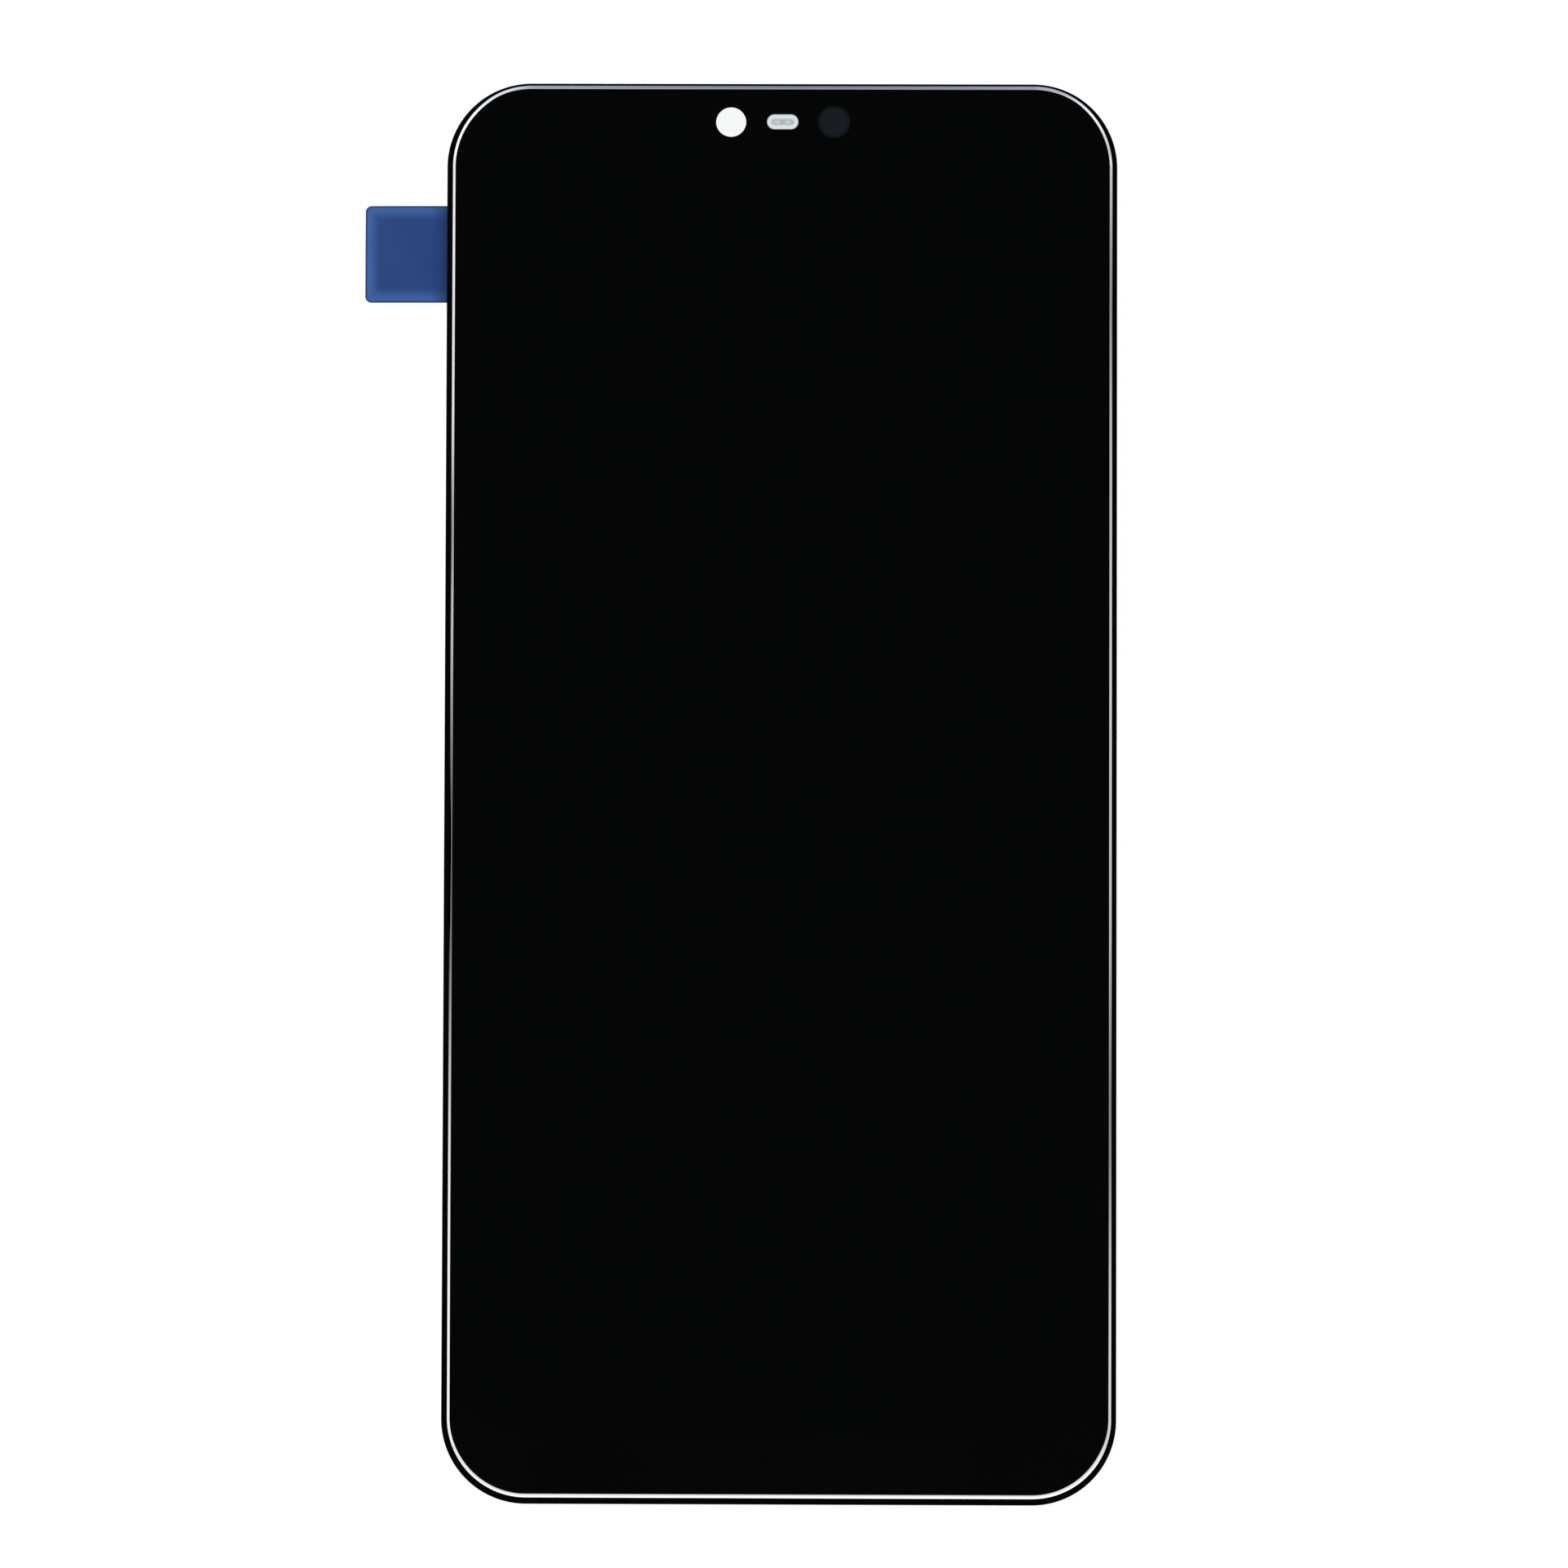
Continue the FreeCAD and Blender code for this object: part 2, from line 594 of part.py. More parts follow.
# Display flex: bonded to the ledge, folded round the bottom edge and laid flat on the tray.
def display_flex():
    lap = plate(-LAP_HALF, BEND_Y, LAP_HALF, TFT_BOTTOM + FLEX_LAP, TFT_TOP, TFT_TOP + FLEX)
    bend = half_tube(-LAP_HALF, LAP_HALF, BEND_Y, FLEX_TOP, TFT_TOP, FLEX)
    points, radii = tail_plan()
    back = prism(points, radii, FLEX_BACK, FLEX_TOP)
    return back.multiFuse([lap, bend]).removeSplitter()


# Flex tape: holds the flex to the tray and leaves room for the LED tail and the stiffener.
def flex_tape():
    field_top = BEND_Y + COMPONENT_FIELD
    tail_top = BEND_Y + TAIL_END - HEAD_LENGTH
    left = 2 * TAPE_SETBACK - LAP_HALF
    right = LAP_HALF - LED_TAIL_OVERLAP - TAPE_SETBACK
    near = BEND_Y + TAPE_FOLD_GAP
    field = plate(left, near, right, field_top - TAPE_SETBACK, FLEX_TOP, TRAY_BACK, TAPE_SETBACK)
    half = TAIL_HALF - TAPE_SIDE
    tail = plate(TAIL_X - half, field_top - TAPE_TAIL_OVERLAP, TAIL_X + half, tail_top - TAPE_SETBACK,
                 FLEX_TOP, TRAY_BACK)
    return field.fuse(tail).removeSplitter()


def flex_stiffener():
    half = HEAD_HALF - STIFFENER_SETBACK
    far = BEND_Y + TAIL_END - STIFFENER_SETBACK
    near = far - HEAD_LENGTH + 2 * STIFFENER_SETBACK
    return plate(TAIL_X - half, near, TAIL_X + half, far, FLEX_TOP, TRAY_BACK, STIFFENER_CORNER)


# Solder joints: a row of pads that tie the LED tail to the display flex.
def solder_joints():
    pitch = LED_TAIL_WIDTH / (JOINT_COUNT + 0.5)
    middle = BEND_Y + LED_TAIL_RUN - LED_TAIL_WIDTH / 2
    half = pitch * JOINT_SHARE / 2
    left = LAP_HALF - LED_TAIL_OVERLAP + JOINT_TIP_GAP
    right = LAP_HALF - JOINT_ROOT_GAP
    pads = []
    for i in range(JOINT_COUNT):
        y = middle + (i - (JOINT_COUNT - 1) / 2) * pitch
        pads.append(plate(left, y - half, right, y + half, FLEX_TOP, TRAY_BACK - LED_FLEX))
    return pads


# The chips and passives stand on the outer face of the flex, away from the tray.
def on_flex(shares, length, width, height, shift=0):
    x = shares[0] * LAP_HALF + shift
    y = shares[1] * COMPONENT_FIELD + BEND_Y
    return plate(x - length / 2, y - width / 2, x + length / 2, y + width / 2, FLEX_BACK - height, FLEX_BACK)


def power_chips():
    return [on_flex(POWER_CHIP_SHARES, POWER_CHIP_SIDE, POWER_CHIP_SIDE, PACKAGE_HEIGHT),
            on_flex(LED_CHIP_SHARES, LED_CHIP_SIDE, LED_CHIP_SIDE, PACKAGE_HEIGHT)]


def power_inductor():
    return on_flex(INDUCTOR_SHARES, INDUCTOR_LENGTH, INDUCTOR_WIDTH, INDUCTOR_HEIGHT)


def passive_bodies(places, height):
    return [on_flex(shares, PASSIVE_LENGTH, PASSIVE_WIDTH, height) for shares in places]


def passive_terminals(places, height):
    ends = []
    reach = (PASSIVE_LENGTH + CAP_LENGTH) / 2
    width = PASSIVE_WIDTH + 2 * CAP_LIP
    for shares in places:
        for shift in (-reach, reach):
            ends.append(on_flex(shares, CAP_LENGTH, width, height + CAP_LIP, shift))
    return ends


def test_pads():
    low = FLEX_BACK - TEST_PAD_HEIGHT
    pads = []
    for x, y in TEST_PAD_SHARES:
        pads.append(disc(x * LAP_HALF, BEND_Y + y * COMPONENT_FIELD, TEST_PAD_DIAMETER, low, FLEX_BACK))
    return pads


def plug_length():
    return CONTACT_PITCH * (CONTACT_COUNT - 1) + 2 * PLUG_END


def plug_y():
    return BEND_Y + TAIL_END - HEAD_LENGTH / 2


# Board connector: a low plug with a centre groove, open away from the tray.
def board_connector():
    half = plug_length() / 2
    deep = PLUG_WIDTH / 2
    y = plug_y()
    body = plate(TAIL_X - half, y - deep, TAIL_X + half, y + deep, PLUG_CREST, FLEX_BACK, PLUG_CORNER)
    inner_half = half - PLUG_END_WALL
    inner_deep = deep - PLUG_WALL
    groove = plate(TAIL_X - inner_half, y - inner_deep, TAIL_X + inner_half, y + inner_deep,
                   PLUG_CREST, PLUG_BACK + GROOVE_DEPTH, GROOVE_CORNER)
    return body.cut(groove).cut(Part.makeCompound(connector_clips()))


# Contacts: two rows of strips, each with a foot on the flex, bent over a long wall of the plug.
def contact_outline():
    """Side view of one contact, as distances from the plug's centre line and heights."""
    outer = PLUG_WIDTH / 2
    inner = outer - PLUG_WALL
    sheet = CONTACT_SHEET
    foot = outer + CONTACT_FOOT
    tip = PLUG_BACK + CONTACT_DEPTH
    return [(foot, FLEX_BACK), (outer, FLEX_BACK), (outer, PLUG_CREST), (inner, PLUG_CREST),
            (inner, tip), (inner - sheet, tip), (inner - sheet, PLUG_BACK), (outer + sheet, PLUG_BACK),
            (outer + sheet, FLEX_BACK - sheet), (foot, FLEX_BACK - sheet)]


def connector_contacts():
    y = plug_y()
    pieces = []
    for i in range(CONTACT_COUNT):
        x = TAIL_X + (i - (CONTACT_COUNT - 1) / 2) * CONTACT_PITCH - CONTACT_WIDTH / 2
        for side in (-1, 1):
            corners = [V(x, y + side * across, z) for across, z in contact_outline()]
            face = Part.Face(Part.makePolygon(corners + corners[:1]))
            pieces.append(face.extrude(V(CONTACT_WIDTH, 0, 0)))
    return pieces


# Clips: metal hold-downs at both ends of the plug.
def connector_clips():
    half = plug_length() / 2
    y = plug_y()
    low = PLUG_BACK + CLIP_DROP
    clips = []
    for side in (-1, 1):
        ends = sorted((TAIL_X + side * (half - CLIP_SEAT), TAIL_X + side * (half + CLIP_REACH)))
        clips.append(plate(ends[0], y - CLIP_HALF, ends[1], y + CLIP_HALF, low, FLEX_BACK, CLIP_CORNER))
    return clips


# Ground tape: a conductive strip stuck on the tray beside the flex.
def ground_tape():
    right = -LAP_HALF - GROUND_TAPE_GAP
    near = BEND_Y + GROUND_TAPE_GAP
    return plate(right - GROUND_TAPE_WIDTH, near, right, near + GROUND_TAPE_LENGTH,
                 TRAY_BACK - GROUND_TAPE_SHEET, TRAY_BACK, TAPE_CORNER)


# Foam pads: three cushions as tall as the plug, so the tray lies level behind the screen.
def foam_pads():
    side = AREA_HALF * PAD_SIDE_SHARE
    high = AREA_TOP - PAD_INSET
    low = BEND_Y + TAIL_END - HEAD_LENGTH - PAD_WIDTH / 2
    half = PAD_LENGTH / 2
    deep = PAD_WIDTH / 2
    pads = []
    for x, y in ((-side, high), (side, high), (side, low)):
        pads.append(plate(x - half, y - deep, x + half, y + deep, PLUG_BACK, TRAY_BACK, PAD_CORNER))
    return pads


export("cover_glass", cover_glass())
export("border_print", border_print())
export("ir_window_print", ir_window_print())
export("sensor_diffuser", sensor_diffuser())
export("border_adhesive", ring(ADHESIVE_BACK, PRINT_BACK))
export("adhesive_liner", adhesive_liner())
export("optical_adhesive", optical_adhesive())
export("front_polarizer", front_polarizer())
export("color_filter_glass", color_filter_glass())
export("cell_seal", cell_seal())
export("liquid_crystal", liquid_crystal())
export("tft_glass", tft_glass())
export("driver_chip", driver_chip())
export("ledge_sealant", ledge_sealant())
export("rear_polarizer", rear_polarizer())
export("rim_tape", rim_tape())
export("prism_film_upper", film(LOWER_PRISM_TOP, UPPER_PRISM_TOP))
export("prism_film_lower", film(DIFFUSER_TOP, LOWER_PRISM_TOP))
export("diffuser_film", film(GUIDE_TOP, DIFFUSER_TOP))
export("light_guide_plate", light_guide_plate())
export("reflector_film", reflector_film())
export("mould_frame", mould_frame())
export("leds", Part.makeCompound(leds()))
export("led_flex", led_flex())
export("backlight_tray", backlight_tray())
export("ground_tape", ground_tape())
export("foam_pads", Part.makeCompound(foam_pads()))
export("flex_tape", flex_tape())
export("flex_stiffener", flex_stiffener())
export("display_flex", display_flex())
export("solder_joints", Part.makeCompound(solder_joints()))
export("power_chips", Part.makeCompound(power_chips()))
export("power_inductor", power_inductor())
export("ceramic_capacitors", Part.makeCompound(passive_bodies(CAPACITOR_SHARES, CAPACITOR_HEIGHT)))
export("capacitor_terminals", Part.makeCompound(passive_terminals(CAPACITOR_SHARES, CAPACITOR_HEIGHT)))
export("chip_resistors", Part.makeCompound(passive_bodies(RESISTOR_SHARES, RESISTOR_HEIGHT)))
export("resistor_terminals", Part.makeCompound(passive_terminals(RESISTOR_SHARES, RESISTOR_HEIGHT)))
export("test_pads", Part.makeCompound(test_pads()))
export("board_connector", board_connector())
export("connector_contacts", Part.makeCompound(connector_contacts()))
export("connector_clips", Part.makeCompound(connector_clips()))
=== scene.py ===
import math

import bmesh
import bpy
from mathutils import Matrix, Vector
from mathutils.geometry import delaunay_2d_cdt


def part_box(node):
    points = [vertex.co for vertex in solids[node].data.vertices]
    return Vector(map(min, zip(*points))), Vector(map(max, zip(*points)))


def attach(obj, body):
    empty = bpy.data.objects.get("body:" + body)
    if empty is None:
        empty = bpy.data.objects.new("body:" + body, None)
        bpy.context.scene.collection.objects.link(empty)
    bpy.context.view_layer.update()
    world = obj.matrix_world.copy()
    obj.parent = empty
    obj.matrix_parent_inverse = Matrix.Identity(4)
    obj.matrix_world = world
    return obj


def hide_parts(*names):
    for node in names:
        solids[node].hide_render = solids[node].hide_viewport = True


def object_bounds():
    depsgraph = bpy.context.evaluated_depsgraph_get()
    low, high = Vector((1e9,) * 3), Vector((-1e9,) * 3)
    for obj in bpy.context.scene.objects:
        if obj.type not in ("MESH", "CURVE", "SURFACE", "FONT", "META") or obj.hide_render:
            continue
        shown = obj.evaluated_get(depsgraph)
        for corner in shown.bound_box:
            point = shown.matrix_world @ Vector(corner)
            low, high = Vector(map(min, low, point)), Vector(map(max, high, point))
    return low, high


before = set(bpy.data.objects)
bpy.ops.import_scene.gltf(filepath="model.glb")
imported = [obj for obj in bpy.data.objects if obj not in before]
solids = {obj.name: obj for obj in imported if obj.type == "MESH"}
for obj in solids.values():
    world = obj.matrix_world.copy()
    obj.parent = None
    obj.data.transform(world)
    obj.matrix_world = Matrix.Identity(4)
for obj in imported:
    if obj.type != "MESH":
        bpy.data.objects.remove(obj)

cad_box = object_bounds()
mm = 0.001

# Room: the screen lies on its back on a white table, seen from above by a long lens that stands a
# little towards the chin end. The table keeps a faint shadow; the room is white at eye level and
# dark overhead, so that the flat glass stays black.
eye = Vector((5.24, -22.2, 622.7)) * mm
tilt, lean, roll = 0.0369, 0.0078, 0.0027
lens = bpy.data.cameras.new("lens")
lens.lens = 135
lens.clip_start = 0.01
camera = bpy.data.objects.new("camera", lens)
camera.matrix_world = (
    Matrix.Translation(eye)
    @ Matrix.Rotation(tilt, 4, "X")
    @ Matrix.Rotation(lean, 4, "Y")
    @ Matrix.Rotation(roll, 4, "Z")
)
scene = bpy.context.scene
scene.collection.objects.link(camera)
scene.camera = camera
scene.view_settings.view_transform = "Standard"


def blank_nodes(owner):
    """Switches on the nodes of a world or a material and clears its tree."""
    owner.use_nodes = True
    owner.node_tree.nodes.clear()
    return owner.node_tree


def add_node(tree, kind, feeds=(), **settings):
    """A new node. Its feeds, in order or by name, are values, outputs or nodes with one main output."""
    node = tree.nodes.new(kind)
    for setting, value in settings.items():
        setattr(node, setting, value)
    for socket, feed in feeds.items() if isinstance(feeds, dict) else enumerate(feeds):
        if isinstance(feed, bpy.types.Node):
            feed = feed.outputs[0]
        if isinstance(feed, bpy.types.NodeSocket):
            tree.links.new(feed, node.inputs[socket])
        else:
            node.inputs[socket].default_value = feed
    return node


def number_of(tree, operation, *feeds):
    """The output of a Math node."""
    return add_node(tree, "ShaderNodeMath", feeds, operation=operation).outputs[0]


def soft_step(tree, value, start, stop, low=0.0, high=1.0, kind="SMOOTHSTEP"):
    """A step that is low where a value is at start and high where it is at stop."""
    feeds = {"Value": value, "From Min": start, "From Max": stop, "To Min": low, "To Max": high}
    return add_node(tree, "ShaderNodeMapRange", feeds, interpolation_type=kind).outputs["Result"]


# How bright the room is for matt surfaces, and for a mirror at eye level and overhead. A mirror sees
# it fade between two heights, where straight up is 1.
room_fill = 0.50
eye_level_white = 0.45
overhead_dark = 0.014
fade_start = 0.05
fade_end = 0.36
room = bpy.data.worlds.new("room")
scene.world = room
tree = blank_nodes(room)
direction = add_node(tree, "ShaderNodeTexCoord").outputs["Generated"]
height = add_node(tree, "ShaderNodeSeparateXYZ", [direction]).outputs["Z"]
ceiling = soft_step(tree, height, fade_start, fade_end, eye_level_white, overhead_dark)
ray = add_node(tree, "ShaderNodeLightPath").outputs
mirrored = add_node(tree, "ShaderNodeMix", {"Factor": ray["Is Glossy Ray"], "A": room_fill, "B": ceiling})
seen = number_of(tree, "MAXIMUM", ray["Is Camera Ray"], ray["Is Transmission Ray"])
level = add_node(tree, "ShaderNodeMix", {"Factor": seen, "A": mirrored, "B": 1.0})
backdrop = add_node(tree, "ShaderNodeBackground", {"Color": (1, 1, 1, 1), "Strength": level})
add_node(tree, "ShaderNodeOutputWorld", {"Surface": backdrop})

table_top = cad_box[0].z
table_half = 3.0
table_corners = [(x * table_half, y * table_half, table_top) for x, y in ((-1, -1), (1, -1), (1, 1), (-1, 1))]
table_mesh = bpy.data.meshes.new("table")
table_mesh.from_pydata(table_corners, [], [(0, 1, 2, 3)])
table = bpy.data.objects.new("table", table_mesh)
scene.collection.objects.link(table)
paper = bpy.data.materials.new("table_paper")
paper.cycles.emission_sampling = "NONE"
tree = blank_nodes(paper)
ray = add_node(tree, "ShaderNodeLightPath").outputs
seen = number_of(tree, "MAXIMUM", ray["Is Camera Ray"], ray["Is Glossy Ray"])
seen_through = number_of(tree, "MAXIMUM", seen, ray["Is Transmission Ray"])
matt = add_node(tree, "ShaderNodeBsdfDiffuse", {"Color": (0.8, 0.8, 0.8, 1)})
faint = add_node(tree, "ShaderNodeBsdfDiffuse", {"Color": (0.17, 0.17, 0.17, 1)})
glow = add_node(tree, "ShaderNodeEmission", {"Strength": 0.93})
white = add_node(tree, "ShaderNodeAddShader", [faint, glow])
top_side = add_node(tree, "ShaderNodeMixShader", [seen_through, matt, white])
below = add_node(tree, "ShaderNodeNewGeometry").outputs["Backfacing"]
clear = add_node(tree, "ShaderNodeBsdfTransparent")
both_sides = add_node(tree, "ShaderNodeMixShader", [below, top_side, clear])
add_node(tree, "ShaderNodeOutputMaterial", {"Surface": both_sides})
table_mesh.materials.append(paper)

# Lamps: a broad soft lamp gives the shape, and only matt surfaces see it. A lit frame that hangs over
# the table, with a dark middle, draws the bright line along the ground edge of the glass; only gloss
# sees it. Its light is uneven, strongest at the chin end and in the top corners.
soft_light = bpy.data.lights.new("soft_lamp", "AREA")
soft_light.size = 1.0
soft_light.energy = 14
soft_lamp = bpy.data.objects.new("soft_lamp", soft_light)
soft_place = Vector((-0.7, 0.5, 1.3))
soft_turn = soft_place.to_track_quat("Z", "Y").to_matrix().to_4x4()
soft_lamp.matrix_world = Matrix.Translation(soft_place) @ soft_turn
scene.collection.objects.link(soft_lamp)
for sight in ("camera", "transmission", "glossy"):
    setattr(soft_lamp, "visible_" + sight, False)


def rounded_loop(half_width, half_height, corner, steps):
    """Points round a rectangle with rounded corners, anticlockwise from its right side."""
    points = []
    for quarter, (sx, sy) in enumerate(((1, 1), (-1, 1), (-1, -1), (1, -1))):
        cx, cy = sx * (half_width - corner), sy * (half_height - corner)
        for step in range(steps + 1):
            angle = math.pi / 2 * (quarter + step / steps)
            points.append((cx + corner * math.cos(angle), cy + corner * math.sin(angle)))
    return points


# Each outline of the frame: the x and y of its middle, its half width, half height and corner.
frame_height = 0.6
frame_inner = (0.020, 0.2025, 0.255, 0.3575, 0.10)
frame_outer = (0.030, 0.350, 0.455, 0.765, 0.40)
frame_points = []
for centre_x, centre_y, half_width, half_height, corner in (frame_inner, frame_outer):
    loop = rounded_loop(half_width, half_height, corner, steps=16)
    frame_points += [(centre_x + x, centre_y + y, frame_height) for x, y in loop]
half_count = len(frame_points) // 2
frame_faces = []
for i in range(half_count):
    j = (i + 1) % half_count
    frame_faces.append((i, j, half_count + j, half_count + i))
frame_mesh = bpy.data.meshes.new("frame_lamp")
frame_mesh.from_pydata(frame_points, [], frame_faces)
frame_lamp = bpy.data.objects.new("frame_lamp", frame_mesh)
scene.collection.objects.link(frame_lamp)
for sight in ("camera", "diffuse", "transmission", "volume_scatter", "shadow"):
    setattr(frame_lamp, "visible_" + sight, False)


def on_piece(tree):
    """The place on the piece itself, in metres."""
    return add_node(tree, "ShaderNodeTexCoord").outputs["Object"]


def vector_of(tree, operation, *feeds):
    """The output of a Vector Math node."""
    outputs = add_node(tree, "ShaderNodeVectorMath", feeds, operation=operation).outputs
    return outputs["Value" if operation == "LENGTH" else "Vector"]


def oval_distance(tree, centre, reach):
    """The distance to a point in plan, where an oval of the given reach is at 1."""
    away = vector_of(tree, "SUBTRACT", on_piece(tree), (*centre, 0))
    return vector_of(tree, "LENGTH", vector_of(tree, "MULTIPLY", away, (1 / reach[0], 1 / reach[1], 0)))


# Patches of light that add up along the frame: the middle, reach and strength of each.
frame_glow = bpy.data.materials.new("frame_lamp_glow")
tree = blank_nodes(frame_glow)
level = 0.0
for place, reach, strength in (
    ((0.03, 0.35), (9.0, 9.0), 12.5),
    ((0.03, -0.36), (0.75, 0.26), 16.0),
    ((-0.36, -0.11), (0.26, 0.16), 12.0),
    ((0.42, -0.13), (0.24, 0.09), 6.0),
    ((0.42, 0.045), (0.26, 0.065), 2.5),
    ((-0.42, 0.005), (0.34, 0.080), -17.8),
    ((-0.44, 0.083), (0.34, 0.028), -13.5),
    ((0.43, -0.049), (0.32, 0.052), -8.0),
    ((0.46, 0.142), (0.32, 0.042), -7.5),
    ((-0.34, 0.33), (0.32, 0.40), 16.0),
    ((0.39, 0.50), (0.30, 0.37), 13.0),
    ((0.00, 0.85), (0.14, 0.50), -6.5),
    ((-0.28, 0.76), (0.24, 0.38), 11.0),
    ((0.42, 0.185), (0.26, 0.055), 6.0),
    ((-0.24, -0.22), (0.18, 0.15), 5.0),
    ((0.27, -0.25), (0.17, 0.13), 4.0),
):
    patch = soft_step(tree, oval_distance(tree, place, reach), 1.0, 0.0, 0.0, strength)
    level = number_of(tree, "ADD", level, patch)
along = add_node(tree, "ShaderNodeSeparateXYZ", [on_piece(tree)]).outputs["Y"]
far = soft_step(tree, along, 0.40, 0.75, kind="LINEAR")
cool = add_node(tree, "ShaderNodeMix", {"Factor": far, "A": (0.965, 0.98, 1, 1), "B": (0.78, 0.83, 1, 1)},
                data_type="RGBA")
glow = add_node(tree, "ShaderNodeEmission", {"Color": cool.outputs["Result"], "Strength": level})
add_node(tree, "ShaderNodeOutputMaterial", {"Surface": glow})
frame_mesh.materials.append(frame_glow)

# Cover glass: one plate of toughened glass with a front edge ground to a shallow arc. The border and
# the dark display behind show through it as black, and three small windows are left clear.
glass_low, glass_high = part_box("cover_glass")
glass_half_width = glass_high.x
glass_half_height = glass_high.y
glass_corner = 8.94 * mm
corner_steps = 40
edge_reach = 1.15 * mm
edge_drop = 0.35 * mm
edge_radius = (edge_reach ** 2 + edge_drop ** 2) / (2 * edge_drop)
edge_turn = math.asin(edge_reach / edge_radius)
edge_steps = 28
arris = 0.03 * mm
arris_knee_inset = arris * 0.25
arris_knee_drop = arris * 0.1
back_chamfer = 0.08 * mm
ink_gap = 0.01 * mm

window_y = glass_half_height - 4.10 * mm
camera_x = -5.44 * mm
camera_radius = 1.60 * mm
sensor_x = 5.5 * mm
sensor_radius = 1.775 * mm
slot_x = 0.04 * mm
slot_half_length = 1.675 * mm
slot_half_width = 0.81 * mm
slot_corner = slot_half_width * 0.999

display_side = glass_half_width - 2.2 * mm
display_top = glass_half_height - 2.2 * mm
display_bottom = 7.3 * mm - glass_half_height
display_corner = 6.74 * mm
notch_side = 9.65 * mm
notch_floor = display_top - 4.65 * mm
notch_mouth_corner = 1.4 * mm
notch_floor_corner = 3.2 * mm


def circle(x, y, radius, steps=72):
    """Points round a circle, anticlockwise from its right side."""
    angles = [2 * math.pi * i / steps for i in range(steps)]
    return [(x + radius * math.cos(angle), y + radius * math.sin(angle)) for angle in angles]


def rounded_corners(corners, steps):
    """Points round a polygon, whose corners are given as x, y and the radius of their round."""
    points = []
    for i, (x, y, radius) in enumerate(corners):
        here = Vector((x, y))
        before = (Vector(corners[i - 1][:2]) - here).normalized()
        after = (Vector(corners[(i + 1) % len(corners)][:2]) - here).normalized()
        half = before.angle(after) / 2
        middle = here + (before + after).normalized() * (radius / math.sin(half))
        start = here + before * (radius / math.tan(half)) - middle
        turn = start.angle_signed(here + after * (radius / math.tan(half)) - middle)
        for step in range(steps + 1):
            points.append(tuple(middle + Matrix.Rotation(-turn * step / steps, 2) @ start))
    return points


def inside(point, loop):
    """True where a point lies inside a closed loop."""
    px, py = point
    within = False
    for (ax, ay), (bx, by) in zip(loop, loop[1:] + loop[:1]):
        if (ay > py) != (by > py) and px < (bx - ax) * (py - ay) / (by - ay) + ax:
            within = not within
    return within


def fill_plan(loops, loose=()):
    """A flat plan cut into triangles along every loop: its points, and each triangle with its middle."""
    points, edges = [], []
    for loop in loops:
        first = len(points)
        points += [Vector(p) for p in loop]
        edges += [(first + i, first + (i + 1) % len(loop)) for i in range(len(loop))]
    within_edges = 1
    tolerance = 1e-8
    plan = delaunay_2d_cdt(points + [Vector(p) for p in loose], edges, [], within_edges, tolerance)
    middles = [sum((plan[0][i] for i in triple), Vector((0, 0))) / 3 for triple in plan[2]]
    return [p.to_tuple() for p in plan[0]], list(zip(plan[2], middles))


def join_loops(body, loops):
    """Faces between closed loops of corners, each loop with the next."""
    faces = []
    for near, beyond in zip(loops, loops[1:]):
        for i in range(len(near)):
            j = (i + 1) % len(near)
            faces.append(body.faces.new((near[i], beyond[i], beyond[j], near[j])))
    return faces


def made_mesh(name, body, turned=True):
    """The mesh of a finished body, with its faces turned outwards."""
    if turned:
        bmesh.ops.recalc_face_normals(body, faces=body.faces)
    mesh = bpy.data.meshes.new(name)
    body.to_mesh(mesh)
    body.free()
    return mesh


def add_piece(mesh, node, slot, *materials):
    """A piece that stands for a CAD node, with its materials. The slot is not used."""
    piece = bpy.data.objects.new(mesh.name, mesh)
    scene.collection.objects.link(piece)
    for material in materials:
        mesh.materials.append(material)
    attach(piece, "root")
    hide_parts(node)
    return piece


# From the flat front over the arc, down the wall and round the small chamfer to the flat back.
edge_profile = []
for step in range(edge_steps + 1):
    turn = edge_turn * step / edge_steps
    edge_profile.append((edge_reach - edge_radius * math.sin(turn),
                         glass_high.z - edge_radius * (1 - math.cos(turn))))
arc_end_z = edge_profile.pop()[1]
back_z = glass_low.z + ink_gap
edge_profile += [
    (arris * math.cos(edge_turn), arc_end_z + arris * math.sin(edge_turn)),
    (arris_knee_inset, arc_end_z - arris_knee_drop),
    (0.0, arc_end_z - arris),
    (0.0, back_z + back_chamfer),
    (back_chamfer, back_z),
]
display_loop = rounded_corners(
    [(-display_side, display_bottom, display_corner), (display_side, display_bottom, display_corner),
     (display_side, display_top, display_corner), (notch_side, display_top, notch_mouth_corner),
     (notch_side, notch_floor, notch_floor_corner), (-notch_side, notch_floor, notch_floor_corner),
     (-notch_side, display_top, notch_mouth_corner), (-display_side, display_top, display_corner)], steps=16,
)
slot_loop = rounded_loop(slot_half_length, slot_half_width, slot_corner, steps=24)
window_loops = [
    circle(camera_x, window_y, camera_radius),
    [(slot_x + x, window_y + y) for x, y in slot_loop],
    circle(sensor_x, window_y, sensor_radius),
]
glass = bmesh.new()
rings = []
for inset, z in edge_profile:
    half_width, half_height = glass_half_width - inset, glass_half_height - inset
    loop = rounded_loop(half_width, half_height, glass_corner - inset, corner_steps)
    rings.append([glass.verts.new((x, y, z)) for x, y in loop])
for face in join_loops(glass, rings):
    face.smooth = True
for ring in (rings[0], rings[-1]):
    outline = [(v.co.x, v.co.y) for v in ring]
    points, triangles = fill_plan([outline] + window_loops + [display_loop])
    corners = ring + [glass.verts.new((x, y, ring[0].co.z)) for x, y in points[len(ring):]]
    for triple, middle in triangles:
        face = glass.faces.new([corners[i] for i in triple])
        for index, loop in enumerate([display_loop] + window_loops, 1):
            if inside(middle, loop):
                face.material_index = index


